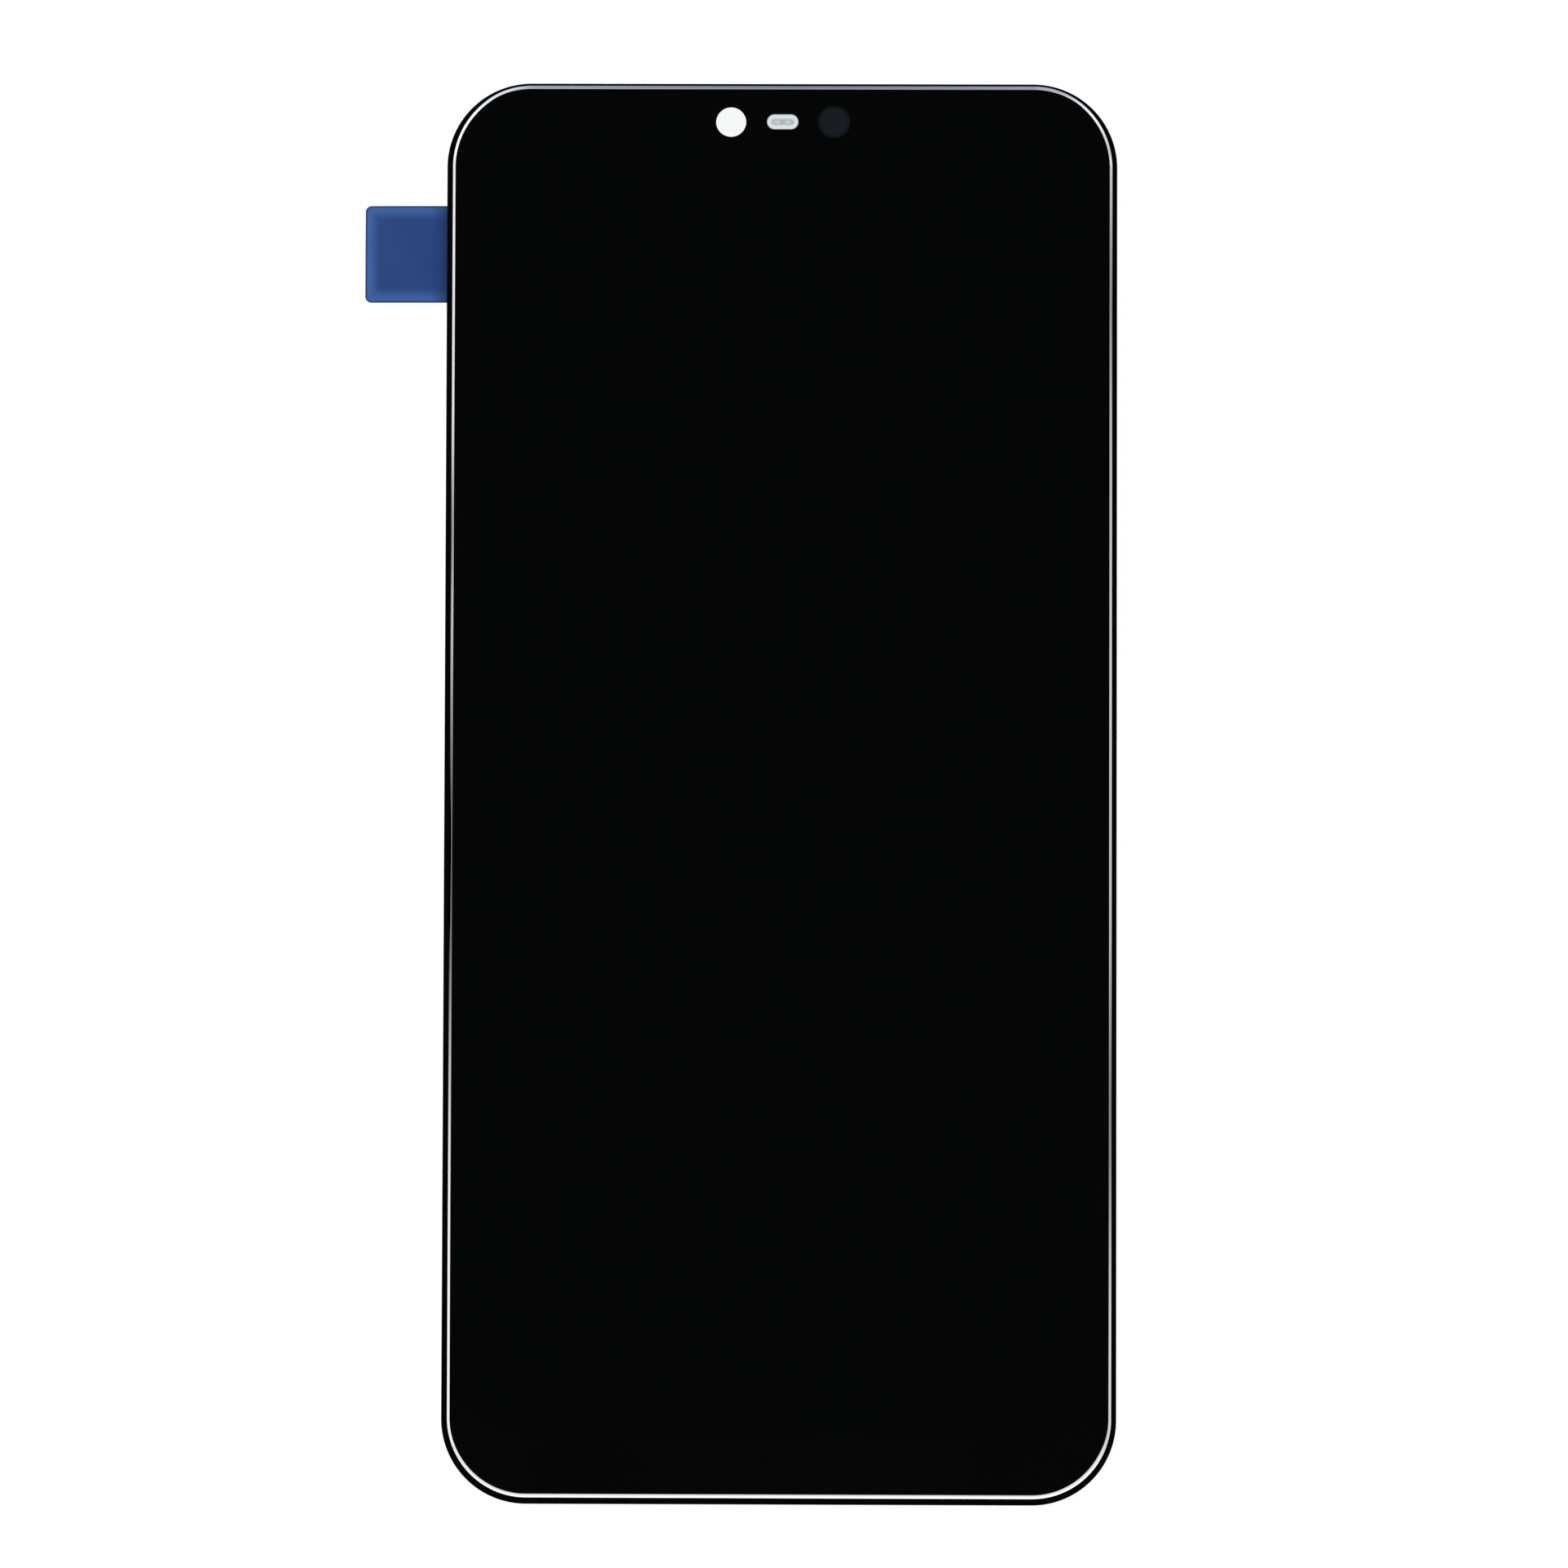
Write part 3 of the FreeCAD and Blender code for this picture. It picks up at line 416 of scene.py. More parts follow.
def grain_group():
    """Cloudy tone and fine height for a surface, each with its own size, on the piece's own coordinates."""
    group = bpy.data.node_groups.new("surface_grain", "ShaderNodeTree")
    for name, kind, value in (("Cloud Scale", "Float", 60.0), ("Grain Scale", "Float", 3000.0),
                              ("Stretch", "Vector", (1, 1, 1))):
        socket = group.interface.new_socket(name, in_out="INPUT", socket_type="NodeSocket" + kind)
        socket.default_value = value
    for name in ("Cloud", "Grain"):
        group.interface.new_socket(name, in_out="OUTPUT", socket_type="NodeSocketFloat")
    given = add_node(group, "NodeGroupInput").outputs
    pulled = vector_of(group, "MULTIPLY", on_piece(group), given["Stretch"])
    noises = {}
    for name, detail in (("Cloud", 4.0), ("Grain", 2.0)):
        noise = add_node(group, "ShaderNodeTexNoise",
                         {"Vector": pulled, "Scale": given[name + " Scale"], "Detail": detail})
        noises[name] = noise.outputs["Fac"]
    add_node(group, "NodeGroupOutput", noises)
    return group


surface_grain = grain_group()


def finish(name, colour, roughness, cloud=60.0, grain=3000.0, stretch=(1, 1, 1), drift=0.08, rough_drift=0.06,
           depth=0.02, metallic=0.0, **sockets):
    """A surface whose colour and gloss drift in soft clouds and whose height has a fine grain, in mm."""
    material = bpy.data.materials.new(name)
    material.use_nodes = True
    tree = material.node_tree
    surface = tree.nodes["Principled BSDF"]
    surface.inputs["Metallic"].default_value = metallic
    for socket, value in sockets.items():
        surface.inputs[socket.replace("_", " ")].default_value = value
    sizes = {"Cloud Scale": cloud, "Grain Scale": grain, "Stretch": stretch}
    texture = add_node(tree, "ShaderNodeGroup", sizes, node_tree=surface_grain).outputs
    cloud_low, cloud_high = 0.3, 0.7
    darker = (*[c * (1 - drift) for c in colour], 1)
    paler = (*[min(1, c * (1 + drift)) for c in colour], 1)
    tones = {"Factor": texture["Cloud"], "A": darker, "B": paler}
    tint = add_node(tree, "ShaderNodeMix", tones, data_type="RGBA")
    gloss = soft_step(tree, texture["Cloud"], cloud_low, cloud_high, max(0.0, roughness - rough_drift),
                      min(1.0, roughness + rough_drift), "LINEAR")
    grain_height = {"Height": texture["Grain"], "Distance": depth * mm, "Strength": 0.6}
    relief = add_node(tree, "ShaderNodeBump", grain_height)
    tree.links.new(tint.outputs["Result"], surface.inputs["Base Color"])
    tree.links.new(gloss, surface.inputs["Roughness"])
    tree.links.new(relief.outputs["Normal"], surface.inputs["Normal"])
    return material


border_glass = finish("border_under_glass", (0.0012, 0.0015, 0.0014), 0.03, rough_drift=0.01, depth=0.00001)
display_glass = finish("display_under_glass", (0.0008, 0.0013, 0.0011), 0.03, rough_drift=0.01, depth=0.00001)
clear_window = finish("clear_window", (0.985, 1.0, 0.995), 0.0, drift=0.005, rough_drift=0.0, depth=0.00001,
                      Transmission_Weight=1.0, IOR=1.5, Specular_IOR_Level=0.0)
frosted_glass = finish("frosted_film_under_glass", (0.62, 0.695, 0.72), 0.03, cloud=2600, drift=0.07,
                       rough_drift=0.01, depth=0.00001)
smoky_glass = finish("smoky_ink_under_glass", (0.0105, 0.0137, 0.0180), 0.03, cloud=1200, drift=0.10,
                     rough_drift=0.01, depth=0.00001)
add_piece(made_mesh("cover_glass_polished", glass), "cover_glass", "cover_glass",
          border_glass, display_glass, clear_window, frosted_glass, smoky_glass)


# Border print and window films: black ink fired on the back of the glass, a smoky infrared disc in
# the right-hand window, and a frosted film stuck behind the slot, with a painted highlight at its rim,
# painted shade at its very edge and two small ovals. The glass over film and disc shows the same.
def dress(node, material):
    """Puts a finish on a CAD piece that keeps its own shape."""
    piece = solids[node]
    piece.data.materials.clear()
    piece.data.materials.append(material)


def rounded_box_distance(tree, centre, half, corner):
    """The distance in metres to a rounded rectangle in plan, negative inside."""
    folded = vector_of(tree, "ABSOLUTE", vector_of(tree, "SUBTRACT", on_piece(tree), (*centre, 0)))
    past = vector_of(tree, "SUBTRACT", folded, (half[0] - corner, half[1] - corner, 0))
    past_in_plan = vector_of(tree, "MULTIPLY", vector_of(tree, "MAXIMUM", past, (0, 0, 0)), (1, 1, 0))
    split = add_node(tree, "ShaderNodeSeparateXYZ", [past]).outputs
    within = number_of(tree, "MINIMUM", number_of(tree, "MAXIMUM", split["X"], split["Y"]), 0.0)
    total = number_of(tree, "ADD", vector_of(tree, "LENGTH", past_in_plan), within)
    return number_of(tree, "SUBTRACT", total, corner)


def tint_where(tree, mask, colour, strength=1.0):
    """Lays a colour over the material's own where the mask is 1."""
    surface = tree.nodes["Principled BSDF"]
    own = surface.inputs["Base Color"].links[0].from_socket
    amount = number_of(tree, "MULTIPLY", mask, strength)
    over = add_node(tree, "ShaderNodeMix", {"Factor": amount, "A": own, "B": (*colour, 1)}, data_type="RGBA")
    tree.links.new(over.outputs["Result"], surface.inputs["Base Color"])


border_ink = finish("border_ink", (0.006, 0.0065, 0.007), 0.32, cloud=900, drift=0.15, depth=0.002,
                    Specular_IOR_Level=0.0)
smoky_ink = finish("smoky_infrared_ink", (0.0105, 0.0135, 0.0185), 0.35, cloud=1200, drift=0.10, depth=0.001,
                   Specular_IOR_Level=0.0)
frosted = finish("frosted_window_film", (0.60, 0.675, 0.70), 0.55, cloud=2600, drift=0.08, depth=0.004,
                 Specular_IOR_Level=0.0)
oval_spread = 0.56 * mm
oval_drop = 0.02 * mm
oval_reach = (0.54 * mm, 0.25 * mm)
# Grey rings round the two ovals, a pale border inside the slot as a painted highlight, and painted
# shade at its very edge.
for film in (frosted, frosted_glass):
    tree = film.node_tree
    for side in (-1, 1):
        distance = oval_distance(tree, (slot_x + side * oval_spread, window_y - oval_drop), oval_reach)
        past_middle = soft_step(tree, distance, 0.25, 1.0)
        before_edge = soft_step(tree, distance, 1.9, 1.0)
        tint_where(tree, number_of(tree, "MULTIPLY", past_middle, before_edge), (0.42, 0.475, 0.50), 0.75)
    slot_half = (slot_half_length, slot_half_width)
    distance = rounded_box_distance(tree, (slot_x, window_y), slot_half, slot_corner)
    # Painted highlight: a pale border just inside the slot's edge.
    tint_where(tree, soft_step(tree, distance, -0.62 * mm, -0.26 * mm), (0.80, 0.85, 0.87))
    # Painted shade at the slot's very edge, cast by the ink.
    tint_where(tree, soft_step(tree, distance, -0.15 * mm, 0.05 * mm), (0.20, 0.22, 0.23))
for film in (smoky_ink, smoky_glass):
    tree = film.node_tree
    distance = oval_distance(tree, (sensor_x, window_y), (sensor_radius, sensor_radius))
    tint_where(tree, soft_step(tree, distance, 0.70, 1.12), (0.0012, 0.0015, 0.0014))
dress("border_print", border_ink)
dress("ir_window_print", smoky_ink)
dress("sensor_diffuser", frosted)

# Release liner: a thin blue film over the border adhesive, cut in one piece with a pull tab that
# droops a little. The film lets light through; painted light makes it palest near its cut, it is dark
# at the cut itself, and painted shade darkens it beside the glass.
liner_low, liner_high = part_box("adhesive_liner")
ring_inset = 0.35 * mm
ring_width = 0.85 * mm
chin_width = 1.75 * mm
tab_middle = glass_half_height - 18.19 * mm
tab_half_height = 5.165 * mm
tab_corner = 0.65 * mm
tab_droop = 0.18 * mm
tab_steps = 12
tab_corner_steps = 8
ring_left = ring_inset - glass_half_width
tab_end = liner_low.x + tab_corner

tab_xs = [ring_left + (tab_end - ring_left) * step / tab_steps for step in range(tab_steps)]
tab_outline = [(x, tab_middle + tab_half_height) for x in tab_xs]
for quarter, side in ((1, 1), (2, -1)):
    centre_y = tab_middle + side * (tab_half_height - tab_corner)
    for step in range(tab_corner_steps + 1):
        angle = math.pi / 2 * (quarter + step / tab_corner_steps)
        tab_outline.append((tab_end + tab_corner * math.cos(angle), centre_y + tab_corner * math.sin(angle)))
tab_outline += [(x, tab_middle - tab_half_height) for x in reversed(tab_xs)]
# The tab leaves the ring below its two upper corners.
tab_root = 2 * (corner_steps + 1)
outer_loop = rounded_loop(-ring_left, glass_half_height - ring_inset, glass_corner - ring_inset, corner_steps)
outer_loop[tab_root:tab_root] = tab_outline

inner_inset = ring_inset + ring_width
inner_side = glass_half_width - inner_inset
inner_top = glass_half_height - inner_inset
inner_bottom = ring_inset + chin_width - glass_half_height
inner_corner = glass_corner - inner_inset
chin_corner = inner_corner - 1.2 * mm
inner_loop = rounded_corners(
    [(-inner_side, inner_bottom, chin_corner), (inner_side, inner_bottom, chin_corner),
     (inner_side, inner_top, inner_corner), (-inner_side, inner_top, inner_corner)], corner_steps,
)
# Loose points over the tab let it bend as it droops.
grid_columns = 11
grid_rows = 13
grid_step = (ring_left - liner_low.x) / (grid_columns + 1)
grid_half_height = tab_half_height * 0.9
grid_half_rows = (grid_rows - 1) / 2
tab_grid = [(tab_end + grid_step * i, tab_middle + grid_half_height * (j / grid_half_rows - 1))
            for i in range(grid_columns) for j in range(grid_rows)]


def drooped(x, z):
    """The height of the liner at x: level under the glass, and lower towards the end of the tab."""
    reach = max(0.0, (-glass_half_width - x) / (-glass_half_width - liner_low.x))
    return z - tab_droop * reach ** 2


points, triangles = fill_plan([outer_loop, inner_loop], tab_grid)
liner = bmesh.new()
sheets = []
for base in (liner_low.z, liner_high.z):
    sheets.append([liner.verts.new((x, y, drooped(x, base))) for x, y in points])
for triple, middle in triangles:
    if inside(middle, outer_loop) and not inside(middle, inner_loop):
        for sheet in sheets:
            liner.faces.new([sheet[i] for i in triple])
outer_count = len(outer_loop)
for first, last in ((0, outer_count), (outer_count, outer_count + len(inner_loop))):
    join_loops(liner, [sheet[first:last] for sheet in sheets])
bmesh.ops.delete(liner, geom=[v for v in liner.verts if not v.link_faces], context="VERTS")

blue_film = finish("blue_release_film", (0.0225, 0.0570, 0.212), 0.16, cloud=420, drift=0.06,
                   rough_drift=0.02, depth=0.0012, Specular_IOR_Level=0.2)
tree = blue_film.node_tree
tab_half_length = (glass_half_width - liner_low.x) / 2
from_cut = rounded_box_distance(tree, (liner_low.x + tab_half_length, tab_middle),
                                (tab_half_length, tab_half_height), tab_corner)
across = add_node(tree, "ShaderNodeSeparateXYZ", [on_piece(tree)]).outputs["X"]
# Painted light near the cut, a dark line at the cut itself, and painted shade beside the glass.
for value, start, stop, colour, strength in (
    (from_cut, -1.7 * mm, -0.2 * mm, (0.054, 0.138, 0.385), 0.8),
    (from_cut, -0.26 * mm, -0.10 * mm, (0.016, 0.044, 0.150), 0.9),
    (across, -glass_half_width - 1.9 * mm, -glass_half_width + 0.3 * mm, (0.012, 0.032, 0.100), 0.75),
):
    tint_where(tree, soft_step(tree, value, start, stop), colour, strength)
add_piece(made_mesh("liner_with_pull_tab", liner), "adhesive_liner", "blue_liner", blue_film)


# Border adhesive: a ring of soft black foam tape, cut from sheet and stuck round the back of the
# glass. Its cut walls are rough and its edges are eased by the press of the liner.
def dressed_copy(node, name, material, slot, ease, steps=2):
    """A copy of a CAD piece with its outer edges eased, which stands for that piece."""
    weld_distance = 1e-7
    flat_angle = math.radians(0.5)
    edge_angle = math.radians(35)
    body = bmesh.new()
    body.from_mesh(solids[node].data)
    bmesh.ops.remove_doubles(body, verts=body.verts, dist=weld_distance)
    bmesh.ops.dissolve_limit(body, angle_limit=flat_angle, verts=body.verts, edges=body.edges)
    edges = [e for e in body.edges if len(e.link_faces) == 2 and e.is_convex
             and e.calc_face_angle() > edge_angle]
    eased = bmesh.ops.bevel(body, geom=edges, offset=ease, offset_type="OFFSET", segments=steps,
                            profile=0.5, affect="EDGES", clamp_overlap=False)
    for face in eased["faces"]:
        face.smooth = True
    bmesh.ops.triangulate(body, faces=[f for f in body.faces if len(f.verts) > 4])
    return add_piece(made_mesh(name, body, turned=False), node, slot, material)


foam_tape = finish("black_foam_tape", (0.012, 0.012, 0.013), 0.8, cloud=700, grain=9000, drift=0.2,
                   depth=0.02)
dressed_copy("border_adhesive", "border_foam_ring", foam_tape, "black_foam_tape", ease=0.03 * mm)

# Display cell: clear resin behind the glass, a polarizer on each side of two thin glass plates, and
# the liquid layer closed in between them by a line of cured resin.
clear_resin = finish("clear_optical_resin", (0.86, 0.88, 0.88), 0.06, cloud=300, drift=0.02, rough_drift=0.03,
                     depth=0.001, Transmission_Weight=1.0, IOR=1.47)
polarizing_film = finish("polarizing_film", (0.030, 0.034, 0.036), 0.16, cloud=260, drift=0.12,
                         rough_drift=0.04, depth=0.0008)
thin_glass = finish("thin_cell_glass", (0.60, 0.70, 0.66), 0.02, cloud=200, drift=0.03, rough_drift=0.01,
                    depth=0.0004, Transmission_Weight=1.0, IOR=1.52)
seal_line = finish("cured_seal_line", (0.62, 0.60, 0.52), 0.42, cloud=900, drift=0.10, depth=0.002)
liquid_layer = finish("liquid_layer", (0.16, 0.165, 0.155), 0.08, cloud=500, drift=0.08, rough_drift=0.03,
                      depth=0.0004)
dress("optical_adhesive", clear_resin)
dress("front_polarizer", polarizing_film)
dress("rear_polarizer", polarizing_film)
dressed_copy("color_filter_glass", "filter_glass_scribed", thin_glass, "cell_glass", ease=0.02 * mm, steps=1)
dressed_copy("tft_glass", "array_glass_scribed", thin_glass, "cell_glass", ease=0.02 * mm, steps=1)
dress("cell_seal", seal_line)
dress("liquid_crystal", liquid_layer)

# Driver chip: a bare silicon sliver bonded face down on the ledge of the array glass, with a bluish
# soft coat over the conductors beside it.
bare_silicon = finish("bare_silicon", (0.075, 0.078, 0.095), 0.14, cloud=1500, grain=12000, drift=0.10,
                      rough_drift=0.05, depth=0.0006, metallic=0.6)
soft_coat = finish("ledge_soft_coat", (0.12, 0.15, 0.23), 0.28, cloud=1400, grain=2200, drift=0.14,
                   rough_drift=0.08, depth=0.012)
dressed_copy("driver_chip", "driver_chip_diced", bare_silicon, "silicon", ease=0.012 * mm, steps=1)
dress("ledge_sealant", soft_coat)

# Rim tape and films: a black double-sided ring holds the cell to the backlight. Under it lie two
# prism films whose fine ridges cross, and a matt diffuser.
thin_black_tape = finish("thin_black_tape", (0.014, 0.014, 0.014), 0.45, cloud=700, drift=0.14, depth=0.003)
dress("rim_tape", thin_black_tape)
for node, pull in (("prism_film_upper", (1, 40, 1)), ("prism_film_lower", (40, 1, 1))):
    ridged = finish(node + "_ridged", (0.80, 0.82, 0.84), 0.24, cloud=120, grain=600, stretch=pull,
                    drift=0.03, depth=0.006, Transmission_Weight=0.5, IOR=1.57)
    dress(node, ridged)
matt_film = finish("matt_diffuser_film", (0.84, 0.85, 0.86), 0.62, cloud=500, grain=9000, drift=0.03,
                   depth=0.004)
dress("diffuser_film", matt_film)

# Light guide: a clear moulded plate with a grid of tiny matt dots printed on its back. A silvery
# film lies loose behind it and throws the light forwards.
guide_clear = finish("light_guide_clear", (0.90, 0.93, 0.95), 0.04, cloud=150, drift=0.02, rough_drift=0.02,
                     depth=0.0005, Transmission_Weight=1.0, IOR=1.58)
tree = guide_clear.node_tree
dots = add_node(tree, "ShaderNodeTexVoronoi", {"Vector": on_piece(tree), "Scale": 3200, "Randomness": 0.25})
printed_dot = soft_step(tree, dots.outputs["Distance"], 0.20, 0.26, 0.55, 0.04, "LINEAR")
tree.links.new(printed_dot, tree.nodes["Principled BSDF"].inputs["Roughness"])
silvery = finish("silvery_reflector", (0.82, 0.83, 0.84), 0.20, cloud=220, drift=0.03, depth=0.001,
                 metallic=0.7)
dress("light_guide_plate", guide_clear)
dress("reflector_film", silvery)

# Mould frame and LEDs: a white ring moulded round guide and films, with a pocket for each LED. The
# LEDs are white packages whose yellow window faces the guide.
white_mould = finish("white_moulded_frame", (0.78, 0.785, 0.76), 0.42, cloud=260, grain=5200, drift=0.03,
                     depth=0.004)
white_package = finish("white_led_package", (0.80, 0.80, 0.77), 0.36, cloud=1200, grain=8000, drift=0.04,
                       depth=0.002)
phosphor = finish("led_phosphor", (0.72, 0.52, 0.08), 0.30, cloud=2600, grain=9000, drift=0.12, depth=0.004)
dress("mould_frame", white_mould)
led_row = dressed_copy("leds", "led_row_packages", white_package, "led_body", ease=0.04 * mm)
led_row.data.materials.append(phosphor)
led_floor = 0.08 * mm
window_low_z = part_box("leds")[0].z + led_floor
towards_guide = 0.99
for face in led_row.data.polygons:
    if face.normal.y > towards_guide and face.center.z > window_low_z:
        face.material_index = 1


# LED flex: copper on amber polyimide under a clear amber cover film, laid over the LEDs. Its tail
# folds round the edge of the tray; the copper shows through as paler lines.
def bands(tree, axis, pitch):
    """Soft bands that repeat along an axis at a pitch in metres."""
    feeds = {"Vector": on_piece(tree), "Scale": math.pi / (10 * pitch)}
    return add_node(tree, "ShaderNodeTexWave", feeds, bands_direction=axis).outputs["Fac"]


def polyimide(name, colour, copper, pitch, axis):
    """Amber film with copper strips that show through it as paler lines."""
    material = finish(name, colour, 0.30, cloud=240, grain=2600, drift=0.10, rough_drift=0.07, depth=0.003)
    tree = material.node_tree
    tint_where(tree, soft_step(tree, bands(tree, axis, pitch), 0.45, 0.62), copper, 0.75)
    return material


led_amber = polyimide("led_flex_amber", (0.235, 0.098, 0.020), (0.42, 0.20, 0.055), 0.9 * mm, "Y")
dress("led_flex", led_amber)

# Backlight tray: a pan pressed from thin rolled steel, with latch windows in its side walls and four
# tooling holes. The sheet keeps the lines of rolling and its pressed rim is rounded.
tray_steel = finish("rolled_tray_steel", (0.58, 0.59, 0.60), 0.30, cloud=90, grain=1800, stretch=(1, 0.04, 1),
                    drift=0.05, rough_drift=0.07, depth=0.004, metallic=1.0)
dressed_copy("backlight_tray", "backlight_tray_pressed", tray_steel, "tray_steel", ease=0.035 * mm, steps=3)


# Ground tape: a strip of woven cloth plated with metal, stuck to the tray beside the flex. The
# hollows between its threads are darkened with painted shade.
def add_relief(tree, height, depth):
    """Lays a coarser relief over the fine grain of a finish."""
    grain = tree.nodes["Bump"].outputs["Normal"]
    feeds = {"Height": height, "Normal": grain, "Distance": depth, "Strength": 0.8}
    relief = add_node(tree, "ShaderNodeBump", feeds)
    tree.links.new(relief.outputs["Normal"], tree.nodes["Principled BSDF"].inputs["Normal"])


plated_cloth = finish("plated_cloth", (0.36, 0.355, 0.35), 0.42, cloud=300, drift=0.10, depth=0.004,
                      metallic=0.8)
tree = plated_cloth.node_tree
thread_pitch = 0.16 * mm
weave = number_of(tree, "MULTIPLY", bands(tree, "X", thread_pitch), bands(tree, "Y", thread_pitch))
add_relief(tree, weave, 0.02 * mm)
# Painted shade in the hollows between the threads.
tint_where(tree, soft_step(tree, weave, 0.25, 0.02), (0.15, 0.15, 0.15), 0.5)
dressed_copy("ground_tape", "ground_tape_cloth", plated_cloth, "ground_cloth", ease=0.02 * mm)

# Foam pads: three soft cushions with open pores, cut from sheet and stuck to the tray. Their free
# edges are round and their walls draw in a little between the two faces.
cushion_foam = finish("cushion_foam", (0.026, 0.026, 0.028), 0.88, cloud=500, grain=7000, drift=0.18,
                      depth=0.05)
tree = cushion_foam.node_tree
pores = add_node(tree, "ShaderNodeTexVoronoi", {"Vector": on_piece(tree), "Scale": 4200}).outputs["Distance"]
add_relief(tree, pores, 0.05 * mm)
# Painted shade in the pores.
tint_where(tree, soft_step(tree, pores, 0.22, 0.05), (0.008, 0.008, 0.009), 0.8)

pad_low, pad_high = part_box("foam_pads")
pad_half_length = 6.0 * mm
pad_half_width = 3.5 * mm
pad_corner = 1.0 * mm
pad_waist = 0.06 * mm
pad_round = 0.14 * mm
pad_rows = 10
pad_side = pad_high.x - pad_half_length
pad_top_y = pad_high.y - pad_half_width
pad_low_y = pad_low.y + pad_half_width


def close_tube(body, loops):
    """Faces between closed loops of corners and over the first and the last loop."""
    faces = join_loops(body, loops)
    body.faces.new(loops[0][::-1])
    body.faces.new(loops[-1])
    return faces


pads = bmesh.new()
for centre_x, centre_y in ((-pad_side, pad_top_y), (pad_side, pad_top_y), (pad_side, pad_low_y)):
    levels = []
    for row in range(pad_rows + 1):
        share = row / pad_rows
        z = pad_low.z + (pad_high.z - pad_low.z) * share
        edge = min(z - pad_low.z, pad_high.z - z)
        inset = pad_waist * math.sin(math.pi * share) ** 2
        if edge < pad_round:
            inset += pad_round - math.sqrt(pad_round ** 2 - (pad_round - edge) ** 2)
        loop = rounded_loop(pad_half_length - inset, pad_half_width - inset, pad_corner, steps=10)
        levels.append([pads.verts.new((centre_x + x, centre_y + y, z)) for x, y in loop])
    for face in close_tube(pads, levels):
        face.smooth = True
cushions = add_piece(made_mesh("foam_cushions", pads), "foam_pads", "black_foam", cushion_foam)

# Flex tape and stiffener: black tape holds the flex to the tray, and a thin steel plate behind its
# head backs the plug.
dress("flex_tape", thin_black_tape)
dressed_copy("flex_stiffener", "flex_stiffener_plate", tray_steel, "tray_steel", ease=0.02 * mm)

# Display flex: the same amber film, bonded to the ledge and folded flat on the tray. Its copper lines
# stand a little proud of the film, round the fold and up the tail to the plug.
display_amber = polyimide("display_flex_amber", (0.205, 0.082, 0.016), (0.30, 0.135, 0.032), 1.4 * mm, "X")
dress("display_flex", display_amber)
flex_back = -1.62 * mm
flex_top = -0.09 * mm
fold_y = -72.05 * mm
fold_radius = (flex_top - flex_back) / 2
fold_middle = (flex_top + flex_back) / 2
fold_steps = 16
fold_start = fold_y + 1.0 * mm
fold_end = fold_y + 1.6 * mm
tail_start = fold_y + 11.0 * mm
tail_end = fold_y + 29.9 * mm


def growth_tree(name, inputs):
    """A Geometry Nodes tree with named inputs, and the outputs that hand them on."""
    tree = bpy.data.node_groups.new(name, "GeometryNodeTree")
    for socket, kind in inputs.items():
        tree.interface.new_socket(socket, in_out="INPUT", socket_type="NodeSocket" + kind)
    tree.interface.new_socket("Geometry", in_out="OUTPUT", socket_type="NodeSocketGeometry")
    return tree, add_node(tree, "NodeGroupInput").outputs


def side_by_side(tree, piece, count, first, pitch):
    """A piece set out along x: how many, where the first one stands, and the pitch."""
    start = add_node(tree, "ShaderNodeCombineXYZ", {"X": first})
    step = add_node(tree, "ShaderNodeCombineXYZ", {"X": pitch})
    places = add_node(tree, "GeometryNodeMeshLine", {"Count": count, "Start Location": start, "Offset": step})
    return add_node(tree, "GeometryNodeInstanceOnPoints", {"Points": places, "Instance": piece})


def end_tree(tree, instances, material):
    """Makes a tree's instances real, gives them their material and hands them out."""
    real = add_node(tree, "GeometryNodeRealizeInstances", {"Geometry": instances})
    coat = add_node(tree, "GeometryNodeSetMaterial", {"Geometry": real, "Material": material})
    add_node(tree, "NodeGroupOutput", {"Geometry": coat})
    return tree


def copper_tree():
    """Parallel copper lines: one path swept with a flat profile and set side by side along x."""
    tree, given = growth_tree("copper_lines", {"Path": "Object", "Copper": "Material", "Count": "Int",
                                               "Pitch": "Float", "First": "Float", "Width": "Float",
                                               "Height": "Float"})
    path = add_node(tree, "GeometryNodeObjectInfo", {"Object": given["Path"]}).outputs["Geometry"]
    profile = add_node(tree, "GeometryNodeCurvePrimitiveCircle", {"Resolution": 8, "Radius": 1.0})
    half_width = number_of(tree, "MULTIPLY", given["Width"], 0.5)
    size = add_node(tree, "ShaderNodeCombineXYZ", [half_width, given["Height"], 1.0])
    flat = add_node(tree, "GeometryNodeTransform", {"Geometry": profile, "Scale": size})
    swept = {"Curve": path, "Profile Curve": flat, "Fill Caps": True}
    line = add_node(tree, "GeometryNodeCurveToMesh", swept)
    row = side_by_side(tree, line, given["Count"], given["First"], given["Pitch"])
    return end_tree(tree, row, given["Copper"])


def grown(name, tree, sizes, smooth=True):
    """A piece that a Geometry Nodes tree makes from its sizes, left as a plain mesh."""
    start = bpy.data.meshes.new(name + "_start")
    piece = bpy.data.objects.new(name, start)
    scene.collection.objects.link(piece)
    growth = piece.modifiers.new("growth", "NODES")
    growth.node_group = tree
    for socket in tree.interface.items_tree:
        if socket.in_out == "INPUT":
            growth[socket.identifier] = sizes[socket.name]
    bpy.context.view_layer.update()
    mesh = bpy.data.meshes.new_from_object(piece.evaluated_get(bpy.context.evaluated_depsgraph_get()))
    piece.modifiers.remove(growth)
    mesh.name = name
    piece.data = mesh
    bpy.data.meshes.remove(start)
    for face in mesh.polygons:
        face.use_smooth = smooth
    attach(piece, "root")
    return piece


def path_object(name, points):
    """A curve through points, for a tree to sweep along."""
    curve = bpy.data.curves.new(name, "CURVE")
    curve.dimensions = "3D"
    line = curve.splines.new("POLY")
    line.points.add(len(points) - 1)
    for point, place in zip(line.points, points):
        point.co = (*place, 1)
    guide = bpy.data.objects.new(name, curve)
    scene.collection.objects.link(guide)
    return guide


